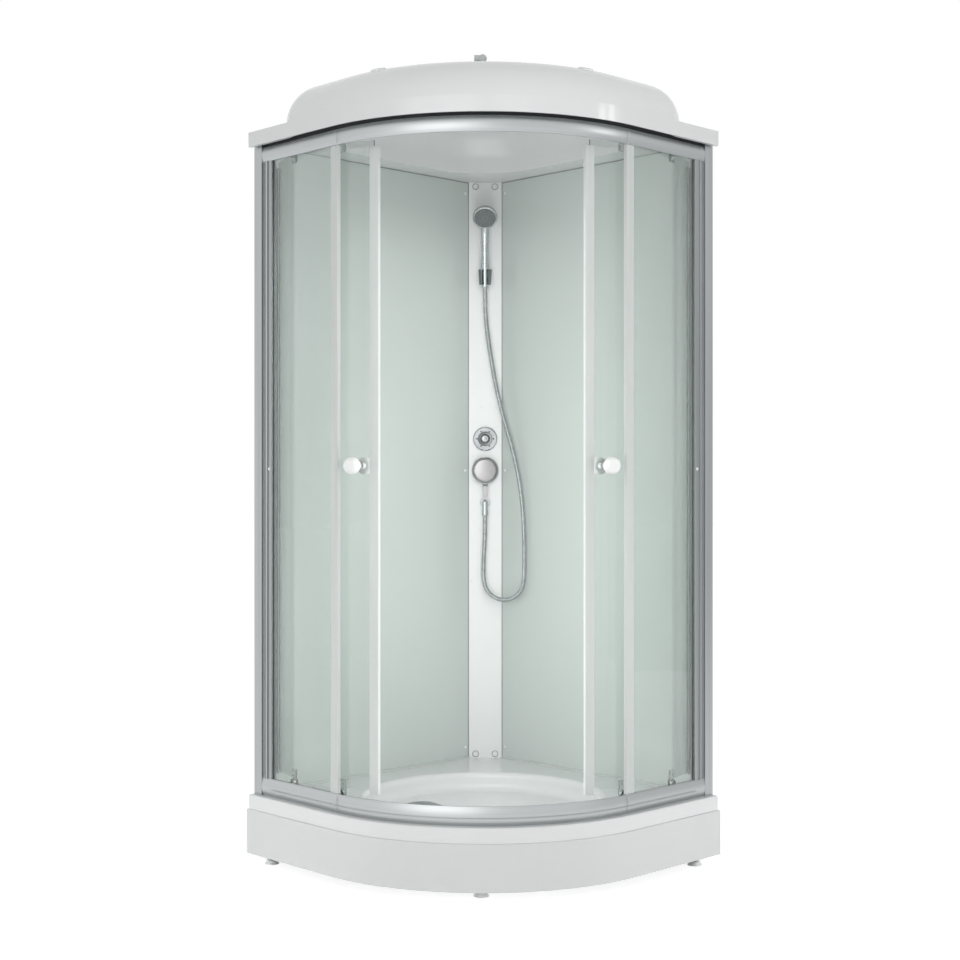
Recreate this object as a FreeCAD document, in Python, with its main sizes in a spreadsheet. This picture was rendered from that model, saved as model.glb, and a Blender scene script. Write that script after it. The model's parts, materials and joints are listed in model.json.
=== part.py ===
"""Quadrant shower cabin, 900 mm along each wall, built as an assembly of separate pieces.

Millimetres, +Z up, doors towards -Y, room corner towards +Y, mirror plane X = 0.
Plan words used below: the front is an arc about the arc centre with a straight run on each
side. "Offset" is the distance outwards from the arc centre, "reach" is the distance along a
straight run from the end of the arc towards the wall.
"""
import FreeCAD, Part
import math
import os

import Sketcher
from FreeCAD import Placement, Rotation, Vector

doc = FreeCAD.newDocument("shower_cabin")

# Driving dimensions, one cell each
SIZES = {
    # plan
    "wall_length": 900.0,
    "front_radius": 550.0,
    # tray
    "foot_gap": 22.0,
    "apron_height": 118.0,
    "lip_height": 38.0,
    "lip_inset": 8.0,
    "lip_tuck": 10.0,
    "apron_gap": 0.3,
    "apron_round": 3.0,
    "lip_round": 5.0,
    "tray_wall": 6.0,
    "basin_radius": 315.0,
    "basin_front_gap": 101.5,
    "basin_depth": 50.0,
    "basin_edge_round": 14.0,
    "basin_floor_round": 22.0,
    # frame and feet
    "beam": 25.0,
    "tube_wall": 2.0,
    "cross_beam_ahead": 26.5,
    "cross_beam_end_gap": 20.5,
    "spine_overhang": 25.0,
    "side_foot_inset": 13.5,
    "front_foot_inset": 60.5,
    "back_foot_inset": 92.5,
    "pad_radius": 20.0,
    "pad_top_radius": 14.0,
    "pad_height": 10.0,
    "stud_radius": 6.0,
    "stud_length": 110.0,
    "stud_clearance": 0.3,
    "nut_circumradius": 10.9,
    "nut_height": 10.0,
    # drain
    "drain_left": 169.0,
    "drain_back": 75.0,
    "drain_bore": 42.0,
    "flange_radius": 56.0,
    "flange_height": 3.0,
    "cap_radius": 54.0,
    "cap_rise": 11.0,
    "cap_clearance": 0.3,
    "cap_stem_radius": 16.0,
    "cap_stem_length": 30.0,
    "drain_cup_radius": 50.0,
    "drain_cup_depth": 58.0,
    "drain_wall": 4.0,
    "gasket_height": 3.0,
    "spigot_radius": 20.0,
    "spigot_length": 60.0,
    "spigot_collar": 4.0,
    # back walls and column
    "panel_inset": 10.0,
    "panel_thickness": 5.0,
    "column_width": 102.6,
    "column_wall": 4.0,
    "flange_reach": 46.0,
    "service_width": 60.0,
    "service_depth": 40.0,
    "service_height": 120.0,
    "service_drop": 130.0,
    "fit_gap": 0.3,
    "ceiling_height": 1933.0,
    "column_cap_radius": 8.5,
    "column_cap_height": 3.0,
    "column_cap_spread": 59.0,
    "column_cap_end": 12.0,
    "panel_cap_radius": 4.5,
    "panel_cap_height": 2.5,
    "panel_cap_edge": 13.0,
    "panel_cap_end": 34.0,
    # enclosure
    "rail_inset": 25.0,
    "rail_bulge": 4.0,
    "rail_depth": 57.0,
    "rail_wall": 3.0,
    "bottom_rail_height": 48.0,
    "bottom_track_height": 33.0,
    "pane_seat_height": 36.0,
    "top_rail_drop": 53.0,
    "top_rail_height": 39.0,
    "top_track_drop": 6.0,
    "pane_socket_drop": 14.0,
    "post_width": 33.0,
    "post_depth": 40.0,
    "post_wall": 2.0,
    "channel_width": 39.0,
    "channel_depth": 16.0,
    "channel_bite": 30.0,
    "pane_inset": 37.0,
    "pane_thickness": 5.0,
    "pane_edge_reach": 17.0,
    "pane_clearance": 0.8,
    "pane_seal_width": 28.0,
    "pane_seal_depth": 10.0,
    "pane_seal_bite": 14.0,
    # doors
    "run_inset": 57.0,
    "door_glass": 5.0,
    "door_overlap": 27.8,
    "roller_lead": 100.0,
    "roller_tail": 118.0,
    "door_wall_gap": 17.0,
    "knob_stop_reach": 18.0,
    "door_bottom_lift": 11.0,
    "door_top_tuck": 8.0,
    "nose_length": 14.0,
    "meeting_gap": 0.5,
    "seal_depth": 13.0,
    "seal_bite": 10.0,
    "seal_slack": 0.3,
    "tail_length": 4.0,
    "seal_bottom_gap": 2.5,
    "seal_top_gap": 8.0,
    "roller_radius": 11.0,
    "guide_radius": 9.0,
    "roller_width": 7.0,
    "roller_chamfer": 1.0,
    "roller_gap": 0.3,
    "axle_radius": 3.0,
    "axle_clearance": 0.05,
    "hanger_width": 20.0,
    "hanger_depth": 6.0,
    "hanger_gap": 0.5,
    "hanger_grip": 20.0,
    "hanger_bolt_radius": 4.0,
    "hole_clearance": 0.3,
    "knob_back": 45.0,
    "knob_height": 1062.0,
    "knob_radius": 22.5,
    "knob_neck_radius": 8.0,
    "knob_foot_radius": 11.0,
    "knob_neck_length": 20.0,
    "knob_head_length": 24.0,
    "knob_foot_height": 3.0,
    "knob_neck_start": 8.0,
    "knob_under_radius": 15.75,
    "knob_widest": 10.8,
    "knob_crown_radius": 11.25,
    "knob_bolt_radius": 3.0,
    "knob_bolt_reach": 12.0,
    "knob_bore_depth": 14.0,
    # roof
    "roof_inset": 5.5,
    "roof_overlap": 10.0,
    "roof_flange": 39.0,
    "roof_skin": 4.0,
    "roof_lip": 11.0,
    "rim_width": 12.0,
    "dome_setback": 92.0,
    "dome_chamfer": 165.0,
    "dome_height": 106.0,
    "dome_corner": 116.0,
    "dome_round": 104.0,
    "crown_radius": 150.0,
    "crown_height": 18.0,
    "crown_round": 14.0,
    "crown_forward": 230.0,
    "strip_setback": 18.0,
    "strip_depth": 34.0,
    "elbow_radius": 9.0,
    "elbow_knee_radius": 11.0,
    "elbow_nut_radius": 13.0,
    "elbow_nut_height": 16.0,
    "elbow_height": 60.0,
    "elbow_arm": 22.0,
    "elbow_collar": 9.0,
    "elbow_relief": 0.5,
    "rose_radius": 75.0,
    "rose_height": 16.0,
    "rose_rim_height": 6.4,
    "rose_shoulder_radius": 37.5,
    "rose_neck_radius": 9.0,
    "rose_drop": 44.0,
    # mixer and diverter
    "mixer_height": 1055.0,
    "diverter_rise": 96.0,
    "rosette_radius": 41.0,
    "rosette_height": 9.0,
    "rosette_bore": 28.0,
    "diverter_rosette_radius": 37.0,
    "diverter_rosette_height": 7.0,
    "diverter_rosette_bore": 20.0,
    "neck_radius": 24.0,
    "valve_width": 57.0,
    "valve_depth": 24.0,
    "valve_margin": 28.0,
    "pipe_wall": 3.0,
    "inlet_radius": 10.48,
    "inlet_length": 30.0,
    "inlet_spread": 36.0,
    "stem_radius": 9.0,
    "stem_clearance": 0.05,
    "stem_depth": 20.0,
    "collar_radius": 26.0,
    "collar_height": 6.0,
    "pivot_forward": 16.0,
    "pivot_pin_radius": 3.0,
    "lug_gap": 0.5,
    "lug_width": 4.0,
    "lug_reach": 23.0,
    "handle_radius": 38.5,
    "handle_forward": 20.0,
    "handle_dome": 16.0,
    "handle_wall": 4.0,
    "lever_width": 16.0,
    "lever_thickness": 9.0,
    "lever_length": 44.0,
    "diverter_knob_radius": 30.0,
    "diverter_knob_height": 13.0,
    "diverter_lobe_radius": 7.0,
    "diverter_lobes": 6.0,
    # hose, handset and holder
    "outlet_drop": 97.5,
    "outlet_rosette_radius": 15.7,
    "outlet_rosette_height": 5.0,
    "outlet_tube_radius": 9.0,
    "outlet_forward": 36.0,
    "outlet_leg": 24.0,
    "hose_nut_radius": 9.5,
    "hose_nut_height": 17.0,
    "hose_nut_chamfer": 1.2,
    "hose_radius": 7.0,
    "hose_first_run": 75.0,
    "hose_last_run": 66.0,
    "hose_bow": 118.0,
    "hose_bow_forward": 50.5,
    "hose_loop_below": 207.8,
    "hose_loop_drop": 47.6,
    "hose_sway": 5.0,
    "fork_drop": 293.0,
    "fork_forward": 36.0,
    "fork_tall": 46.0,
    "fork_slot": 18.0,
    "fork_wall": 8.0,
    "fork_arm_radius": 10.0,
    "fork_clearance": 0.3,
    "handset_tilt": 5.0,
    "cone_low_radius": 9.0,
    "cone_high_radius": 12.5,
    "cone_length": 54.0,
    "cone_below": 30.0,
    "handle_length": 136.0,
    "handle_low_radius": 12.3,
    "handle_top_radius": 13.0,
    "head_radius": 37.5,
    "head_depth": 24.0,
    "head_rim": 4.8,
    "head_reach": 174.0,
    "head_forward": 34.0,
    "head_pitch": 36.0,
    "face_radius": 31.5,
    "face_height": 3.0,
    "face_sink": 0.3,
    "face_crown": 0.6,
}

sheet = doc.addObject("Spreadsheet::Sheet", "dims")


def write_cell(alias, value):
    """Put a plain number in the next row of the sheet under its alias."""
    row = len(sheet.getUsedCells()) // 2 + 1
    sheet.set(f"A{row}", alias)
    sheet.set(f"B{row}", str(value))
    sheet.setAlias(f"B{row}", alias)
    return value


for size_alias, size_value in SIZES.items():
    write_cell(size_alias, size_value)
doc.recompute()


def dim(alias):
    """Value of a cell."""
    return float(sheet.get(alias))


def bind(item, **cells):
    """Tie properties of an object to expressions of the sheet's cells."""
    for name, expression in cells.items():
        item.setExpression(name.replace("__", "."), expression)


# Plan geometry shared by the pieces
HALF_ROOT = math.sqrt(0.5)
ARC_SPAN = 90.0
HALF_ARC = math.radians(ARC_SPAN / 2.0)
UP = Vector(0, 0, 1)
# Two measures closer than this count as the same
NEAR = 0.1
straight = write_cell("straight", dim("wall_length") - dim("front_radius"))
arc_y = (dim("front_radius") - straight * math.sqrt(2.0)) / 2.0
ARC_CENTRE = Placement(Vector(0, arc_y, 0), Rotation())

# Heights
lip_bottom = dim("foot_gap") + dim("apron_height")
rim = write_cell("rim", lip_bottom + dim("lip_height"))
lip_foot = write_cell("lip_foot", lip_bottom - dim("lip_tuck"))
basin_floor = write_cell("basin_floor", rim - dim("basin_depth"))
basin_under = write_cell("basin_under", basin_floor - dim("tray_wall"))
bottom_rail_top = rim + dim("bottom_rail_height")
bottom_track = rim + dim("bottom_track_height")
pane_seat = rim + dim("pane_seat_height")
ceiling = dim("ceiling_height")
top_rail_bottom = ceiling - dim("top_rail_drop")
top_rail_top = top_rail_bottom + dim("top_rail_height")
top_track = top_rail_top - dim("top_track_drop")
pane_socket = top_rail_top - dim("pane_socket_drop")
wall_height = write_cell("wall_height", ceiling - rim)
opening_height = write_cell("opening_height", top_rail_bottom - bottom_rail_top - 2 * dim("fit_gap"))
opening_foot = write_cell("opening_foot", bottom_rail_top + dim("fit_gap"))
roof_bottom = write_cell("roof_bottom", ceiling - dim("roof_overlap"))
flange_top = write_cell("flange_top", roof_bottom + dim("roof_flange"))
dome_top = write_cell("dome_top", flange_top + dim("dome_height"))
crown_top = dome_top + dim("crown_height")

# Offsets from the arc centre and reaches along the straight runs
lip_edge = dim("front_radius") - dim("lip_inset")
rail_front = dim("front_radius") - dim("rail_inset")
rail_back = rail_front - dim("rail_depth")
pane_offset = dim("front_radius") - dim("pane_inset")
run = dim("front_radius") - dim("run_inset")
roof_edge = dim("front_radius") - dim("roof_inset")
post_reach = straight - dim("post_width")
rail_reach = write_cell("rail_reach", post_reach - dim("fit_gap"))
channel_reach = post_reach - dim("channel_width")
panel_reach = straight - dim("panel_inset")
column_half = dim("column_width") / 2.0
column_face = panel_reach * math.sqrt(2.0) - column_half
column_y = arc_y + column_face
basin_forward = dim("front_radius") - dim("basin_front_gap") - dim("basin_radius")
drain_forward = basin_forward - dim("drain_back")
cross_forward = HALF_ROOT * (dim("front_radius") - straight) + dim("cross_beam_ahead")
cross_half = lip_edge / HALF_ROOT - cross_forward - dim("cross_beam_end_gap")
write_cell("cross_length", 2.0 * cross_half)
front_foot_forward = dim("front_radius") - dim("front_foot_inset")
back_foot_back = straight / HALF_ROOT - dim("back_foot_inset")
write_cell("spine_length", front_foot_forward + back_foot_back + 2.0 * dim("spine_overhang"))


def front_point(offset, reach, side):
    """Plan point about the arc centre on a straight run, side +1 right or -1 left."""
    return (side * HALF_ROOT * (offset + reach), HALF_ROOT * (reach - offset))


def side_frame(side):
    """Placement whose X runs along a straight run and whose Y is -side times the offset."""
    return Placement(Vector(0, arc_y, 0), Rotation(UP, 90.0 - 45.0 * side))


def forward(x, y, z):
    """Placement whose local Z points forward, out of the column."""
    return Placement(Vector(x, y, z), Rotation(Vector(1, 0, 0), 90.0))


def radial(angle, radius, z):
    """Placement about the arc centre whose local Z points outwards at an angle from the front."""
    turn = Placement(Vector(), Rotation(UP, angle))
    return turn * Placement(Vector(0, -radius, z), Rotation(Vector(1, 0, 0), 90.0))


# Sketch helpers
# Bow of a moulded edge, as a share of its chord
BOW_SHARE = 0.2


def origin_feature(body, role):
    """Origin plane or axis of a body."""
    return next(item for item in body.Origin.OriginFeatures if item.Role == role)


def new_body(label):
    """Empty body with its label."""
    body = doc.addObject("PartDesign::Body", label)
    body.Label = label
    return body


def new_sketch(body, name, role="XY_Plane", lift=None):
    """Sketch on an origin plane of its body, lifted along the plane's normal."""
    sketch = body.newObject("Sketcher::SketchObject", name)
    sketch.AttachmentSupport = [(origin_feature(body, role), "")]
    sketch.MapMode = "FlatFace"
    if lift is not None:
        bind(sketch, AttachmentOffset__Base__z=lift)
    return sketch


def draw(sketch, path):
    """Closed loop of lines and arcs; a step is a point, or (middle, point) for an arc."""
    corners = [Vector(*(step[1] if isinstance(step[0], tuple) else step), 0) for step in path]
    first = sketch.GeometryCount
    ends = []
    for index, step in enumerate(path):
        start, end = corners[index - 1], corners[index]
        if not isinstance(step[0], tuple):
            sketch.addGeometry(Part.LineSegment(start, end), False)
            ends.append((1, 2))
            continue
        middle = Vector(*step[0], 0)
        if (middle - start).cross(end - middle).z > 0:
            sketch.addGeometry(Part.ArcOfCircle(start, middle, end), False)
            ends.append((1, 2))
        else:
            sketch.addGeometry(Part.ArcOfCircle(end, middle, start), False)
            ends.append((2, 1))
    for index in range(len(path)):
        after = (index + 1) % len(path)
        link = (first + index, ends[index][1], first + after, ends[after][0])
        sketch.addConstraint(Sketcher.Constraint("Coincident", *link))
    return first


def circle(sketch, x, y, cell):
    """Circle whose radius is a cell's expression."""
    item = sketch.addGeometry(Part.Circle(Vector(x, y, 0), UP, 1.0), False)
    hold = sketch.addConstraint(Sketcher.Constraint("Radius", item, 1.0))
    sketch.renameConstraint(hold, f"radius_{item}")
    sketch.setExpression(f"Constraints.radius_{item}", cell)


def hold_radius(sketch, item, cell):
    """Tie the radius of an arc to a cell's expression."""
    value = sketch.Geometry[item].Radius
    hold = sketch.addConstraint(Sketcher.Constraint("Radius", item, value))
    sketch.renameConstraint(hold, f"radius_{item}")
    sketch.setExpression(f"Constraints.radius_{item}", cell)


def hold_length(sketch, item, cell):
    """Tie the length of a line to a cell's expression."""
    line = sketch.Geometry[item]
    value = line.StartPoint.distanceToPoint(line.EndPoint)
    hold = sketch.addConstraint(Sketcher.Constraint("Distance", item, value))
    sketch.renameConstraint(hold, f"length_{item}")
    sketch.setExpression(f"Constraints.length_{item}", cell)


def pad(body, sketch, length):
    """Pad a sketch upwards by a cell's expression."""
    item = body.newObject("PartDesign::Pad", "Pad")
    item.Profile = sketch
    bind(item, Length=length)
    return item


def pocket(body, sketch, length, upwards=False):
    """Cut a sketch down, or up, by a cell's expression, and check that it removed something."""
    doc.recompute()
    before = body.Shape.Volume
    item = body.newObject("PartDesign::Pocket", "Pocket")
    item.Profile = sketch
    item.Reversed = upwards
    bind(item, Length=length)
    doc.recompute()
    if body.Shape.Volume >= before:
        raise ValueError(f"a pocket of {body.Label} cuts nothing")
    return item


def round_edges(body, radius, wanted):
    """Fillet the edges of a body's tip that a test picks out."""
    doc.recompute()
    tip = body.Tip
    names = [f"Edge{index}" for index, edge in enumerate(tip.Shape.Edges, 1) if wanted(edge)]
    item = body.newObject("PartDesign::Fillet", "Fillet")
    item.Base = (tip, names)
    bind(item, Radius=radius)
    doc.recompute()
    return item


def level(edge, height):
    """True where an edge lies flat at a height."""
    box = edge.BoundBox
    return abs(box.ZMin - height) < NEAR and abs(box.ZMax - height) < NEAR


def quadrant(offset, reach):
    """Plan outline about the arc centre: two walls, two straight runs and the arc."""
    return [
        (0.0, reach * math.sqrt(2.0)),
        front_point(offset, reach, 1),
        front_point(offset, 0.0, 1),
        ((0.0, -offset), front_point(offset, 0.0, -1)),
        front_point(offset, reach, -1),
    ]


def front_run(label, section, reach, holds=(), voids=()):
    """Piece with one section all along the front: the arc by revolution, then both straight runs.

    The section is drawn as (offset, height); holds pairs a line of it with its cell.
    """
    body = new_body(label)
    sketch = new_sketch(body, f"{label}_section", "YZ_Plane")
    first = draw(sketch, [mirror_offset(step) for step in section])
    for line, cell in holds:
        hold_length(sketch, first + line, cell)
    for void in voids:
        draw(sketch, [mirror_offset(step) for step in void])
    bend = body.newObject("PartDesign::Revolution", "Bend")
    bend.Profile = sketch
    bend.ReferenceAxis = (origin_feature(body, "Z_Axis"), [""])
    bend.Angle = ARC_SPAN
    bend.Midplane = True
    doc.recompute()
    ends = [
        index
        for index, face in enumerate(bend.Shape.Faces, 1)
        if face.Surface.TypeId == "Part::GeomPlane" and abs(face.normalAt(0, 0).z) < 0.5
    ]
    for index in ends:
        stretch = body.newObject("PartDesign::Pad", "Stretch")
        stretch.Profile = (bend, [f"Face{index}"])
        bind(stretch, Length=reach)
    body.Placement = ARC_CENTRE
    return body


def mirror_offset(step):
    """A section step given as (offset, height) in the sketch's own direction, front towards -Y."""
    if isinstance(step[0], tuple):
        return tuple(mirror_offset(point) for point in step)
    return (-step[0], step[1])


def rectangle(low_x, low_y, high_x, high_y):
    """Corners of a rectangle."""
    return [(low_x, low_y), (high_x, low_y), (high_x, high_y), (low_x, high_y)]


def spun(label, profile, placement):
    """Turned piece: a profile of (radius, height) about its local Z."""
    body = new_body(label)
    sketch = new_sketch(body, f"{label}_profile", "XZ_Plane")
    draw(sketch, profile)
    turn = body.newObject("PartDesign::Revolution", "Turn")
    turn.Profile = sketch
    turn.ReferenceAxis = (origin_feature(body, "Z_Axis"), [""])
    turn.Angle = 360.0
    body.Placement = placement
    return body


def crown_step(radius, foot, rise):
    """Last step of a turned profile: a spherical crown from its edge up to the axis."""
    sphere = (radius ** 2 + rise ** 2) / (2.0 * rise)
    middle = radius / 2.0
    height = foot + rise - sphere + math.sqrt(sphere ** 2 - middle ** 2)
    return ((middle, height), (0.0, foot + rise))


def bowed(start, end):
    """Step of a profile: an arc that bows outwards, away from the axis of a piece turned upwards."""
    across = ((end[1] - start[1]) * BOW_SHARE, (start[0] - end[0]) * BOW_SHARE)
    return (((start[0] + end[0]) / 2.0 + across[0], (start[1] + end[1]) / 2.0 + across[1]), end)


def cylinder(name, placement, radius, height):
    """Round bar along its local Z."""
    item = doc.addObject("Part::Cylinder", name)
    bind(item, Radius=radius, Height=height)
    item.Placement = placement
    return item


def box(name, placement, length, width, height):
    """Block with its corner at the placement."""
    item = doc.addObject("Part::Box", name)
    bind(item, Length=length, Width=width, Height=height)
    item.Placement = placement
    return item


def fuse(label, pieces):
    """One solid out of overlapping shapes."""
    item = doc.addObject("Part::MultiFuse", label)
    item.Shapes = pieces
    item.Refine = True
    item.Label = label
    return item


def cut(label, base, tools):
    """A shape less one or more tools."""
    item = doc.addObject("Part::Cut", label)
    item.Base = base
    item.Tool = tools[0] if len(tools) == 1 else fuse(f"{label}_tools", tools)
    item.Label = label
    return item


def group(label, pieces):
    """Several separate solids in one node."""
    item = doc.addObject("Part::Compound", label)
    item.Links = pieces
    item.Label = label
    return item


def at(x, y, z):
    """Unturned placement."""
    return Placement(Vector(x, y, z), Rotation())


nodes = []


def keep(item):
    """Remember a finished sub-part as a node."""
    nodes.append(item)
    return item


# Tray, frame and feet
def make_tray_shell():
    """Acrylic tray: a deck with a round basin, a lip all round and a drain hole."""
    body = new_body("tray_shell")
    lip = new_sketch(body, "lip_outline", lift="dims.lip_foot")
    first = draw(lip, quadrant(lip_edge, straight))
    hold_radius(lip, first + 3, "dims.front_radius - dims.lip_inset")
    pad(body, lip, "dims.lip_height + dims.lip_tuck")
    bowl = new_sketch(body, "bowl_outline", lift="dims.basin_under")
    circle(bowl, 0.0, -basin_forward, "dims.basin_radius + dims.tray_wall")
    pad(body, bowl, "dims.basin_depth")
    under = new_sketch(body, "under_deck", lift="dims.basin_under")
    draw(under, quadrant(lip_edge - dim("tray_wall"), straight - dim("tray_wall")))
    circle(under, 0.0, -basin_forward, "dims.basin_radius + dims.tray_wall")
    pocket(body, under, "dims.basin_depth", upwards=True)
    basin = new_sketch(body, "basin_outline", lift="dims.rim")
    circle(basin, 0.0, -basin_forward, "dims.basin_radius")
    pocket(body, basin, "dims.basin_depth")
    hole = new_sketch(body, "drain_hole", lift="dims.basin_floor")
    circle(hole, -dim("drain_left"), -drain_forward, "dims.drain_bore")
    pocket(body, hole, "dims.tray_wall")

    def basin_edge(edge, height):
        return level(edge, height) and abs(edge.BoundBox.XLength - 2 * dim("basin_radius")) < NEAR

    round_edges(body, "dims.basin_edge_round", lambda edge: basin_edge(edge, rim))
    round_edges(body, "dims.basin_floor_round", lambda edge: basin_edge(edge, basin_floor))

    def lip_top(edge):
        return level(edge, rim) and edge_offset(edge) > lip_edge - NEAR

    round_edges(body, "dims.lip_round", lip_top)
    body.Placement = ARC_CENTRE
    return body


def make_front_apron():
    """Curved skirt under the tray's lip, with a rounded top edge."""
    back = lip_edge + dim("apron_gap")
    section = rectangle(back, dim("foot_gap"), dim("front_radius"), lip_bottom)
    body = front_run("front_apron", section, "dims.straight", holds=[(2, "dims.apron_height")])
    front = dim("front_radius")


    def top_front(edge):
        return level(edge, lip_bottom) and edge_offset(edge) > front - NEAR

    round_edges(body, "dims.apron_round", top_front)
    return body


def edge_offset(edge):
    """Offset from the arc centre of the middle of an edge, in a piece's own frame."""
    point = edge.valueAt((edge.FirstParameter + edge.LastParameter) / 2.0)
    if -point.y >= abs(point.x):
        return math.hypot(point.x, point.y)
    return HALF_ROOT * (abs(point.x) - point.y)


def foot_places():
    """Plan places of the five feet, in the part's frame."""
    cross_y = arc_y - cross_forward
    side_x = cross_half - dim("side_foot_inset")
    return [
        (0.0, arc_y - front_foot_forward),
        (-side_x, cross_y),
        (side_x, cross_y),
        (0.0, cross_y),
        (0.0, arc_y + back_foot_back),
    ]


def make_tray_frame():
    """Welded cross of square tube that carries the basin and holds the studs."""
    low = basin_under - dim("beam")
    half = dim("beam") / 2.0
    wall = dim("tube_wall")
    spine_y = arc_y - front_foot_forward - dim("spine_overhang")
    inner = "dims.beam - 2 * dims.tube_wall"
    cross_at = at(-cross_half, arc_y - cross_forward - half, low)
    spine_at = at(-half, spine_y, low)
    cross = box("cross_beam", cross_at, "dims.cross_length", "dims.beam", "dims.beam")
    spine = box("spine_beam", spine_at, "dims.beam", "dims.spine_length", "dims.beam")
    hollows = [
        box("cross_hollow", cross_at * at(0, wall, wall), "dims.cross_length", inner, inner),
        box("spine_hollow", spine_at * at(wall, 0, wall), inner, "dims.spine_length", inner),
    ]
    bore = "dims.stud_radius + dims.stud_clearance"
    for index, (x, y) in enumerate(foot_places()):
        hollows.append(cylinder(f"stud_bore_{index}", at(x, y, low), bore, "dims.beam"))
    return cut("tray_frame", fuse("frame_cross", [cross, spine]), hollows)


def make_feet():
    """Pads, studs and lock nuts, five of each."""
    pads, studs, nuts = [], [], []
    for index, (x, y) in enumerate(foot_places()):
        pad_item = doc.addObject("Part::Cone", f"pad_{index}")
        bind(pad_item, Radius1="dims.pad_radius", Radius2="dims.pad_top_radius", Height="dims.pad_height")
        pad_item.Placement = at(x, y, 0.0)
        pads.append(pad_item)
        stud_at = at(x, y, dim("pad_height"))
        studs.append(cylinder(f"stud_{index}", stud_at, "dims.stud_radius", "dims.stud_length"))
        nut_low = basin_under - dim("beam") - dim("nut_height")
        nut = doc.addObject("Part::Prism", f"nut_{index}")
        nut.Polygon = 6
        bind(nut, Circumradius="dims.nut_circumradius", Height="dims.nut_height")
        nut.Placement = at(x, y, nut_low)
        bore = cylinder(f"nut_bore_{index}", at(x, y, nut_low), "dims.stud_radius", "dims.nut_height")
        nuts.append(cut(f"bored_nut_{index}", nut, [bore]))
    return [group("foot_pads", pads), group("foot_studs", studs), group("foot_nuts", nuts)]


# Drain
def make_drain():
    """Flange, gasket, cup with its outlet, and the domed cap that lifts out."""
    place = at(-dim("drain_left"), arc_y - drain_forward, basin_floor)
    sleeve = dim("drain_bore") - dim("fit_gap")
    sleeve_in = sleeve - dim("drain_wall")
    top = dim("flange_height")
    gasket_top = -dim("tray_wall")
    cup_top = gasket_top - dim("gasket_height")
    sleeve_low = cup_top - dim("drain_wall")
    flange = spun("drain_flange", [
        (sleeve_in, top), (sleeve_in, sleeve_low), (sleeve, sleeve_low), (sleeve, 0.0),
        (dim("flange_radius"), 0.0), (dim("flange_radius") - top / 2.0, top),
    ], place)
    cup_radius = dim("drain_cup_radius")
    gasket = spun("drain_gasket", rectangle(sleeve + dim("fit_gap"), cup_top, cup_radius, gasket_top), place)
    cup_low = cup_top - dim("drain_cup_depth")
    cup_at = place * at(0, 0, cup_low)
    cup = cylinder("cup_outer", cup_at, "dims.drain_cup_radius", "dims.drain_cup_depth")
    spigot_y = cup_radius - 2 * dim("drain_wall")
    spigot_z = cup_low + dim("spigot_radius") + 2 * dim("drain_wall")
    spigot_at = place * Placement(Vector(0, spigot_y, spigot_z), Rotation(Vector(1, 0, 0), -90.0))
    collar_length = "2 * dims.drain_wall + dims.spigot_collar"
    spigot_length = f"dims.spigot_length + {collar_length}"
    collar = cylinder("spigot_collar", spigot_at, "dims.spigot_radius + dims.spigot_collar", collar_length)
    spigot = cylinder("spigot_outer", spigot_at, "dims.spigot_radius", spigot_length)
    hollow_at = place * at(0, 0, cup_low + dim("drain_wall"))
    hollow_radius = "dims.drain_cup_radius - dims.drain_wall"
    hollow = cylinder("cup_hollow", hollow_at, hollow_radius, "dims.drain_cup_depth")
    bore = cylinder("spigot_bore", spigot_at, "dims.spigot_radius - dims.drain_wall", spigot_length)
    drain_body = cut("drain_body", fuse("drain_shell", [cup, collar, spigot]), [hollow, bore])
    seat = top + dim("cap_clearance")
    stem = dim("cap_stem_radius")
    cap = spun("drain_cap", [
        (0.0, seat - dim("cap_stem_length")), (stem, seat - dim("cap_stem_length")), (stem, seat),
        (dim("cap_radius"), seat), crown_step(dim("cap_radius"), seat, dim("cap_rise")),
    ], place)
    return [flange, gasket, drain_body, cap]


# Back walls and corner column
panel_start = HALF_ROOT * (column_half - column_face) + dim("fit_gap")
post_back = rail_front - dim("post_depth")
panel_width = write_cell("panel_width", post_back - dim("fit_gap") - panel_start)


def side_y(side, low, high):
    """Lower local Y of a stretch of offsets in a side frame."""
    return -high if side > 0 else low


def make_back_panel(name, side):
    """Flat glass panel between the column and a wall post."""
    place = side_frame(side) * at(panel_reach, side_y(side, panel_start, panel_start + panel_width), rim)
    item = box(f"{name}_back_panel", place, "dims.panel_thickness", "dims.panel_width", "dims.wall_height")
    item.Label = f"{name}_back_panel"
    return item


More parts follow.
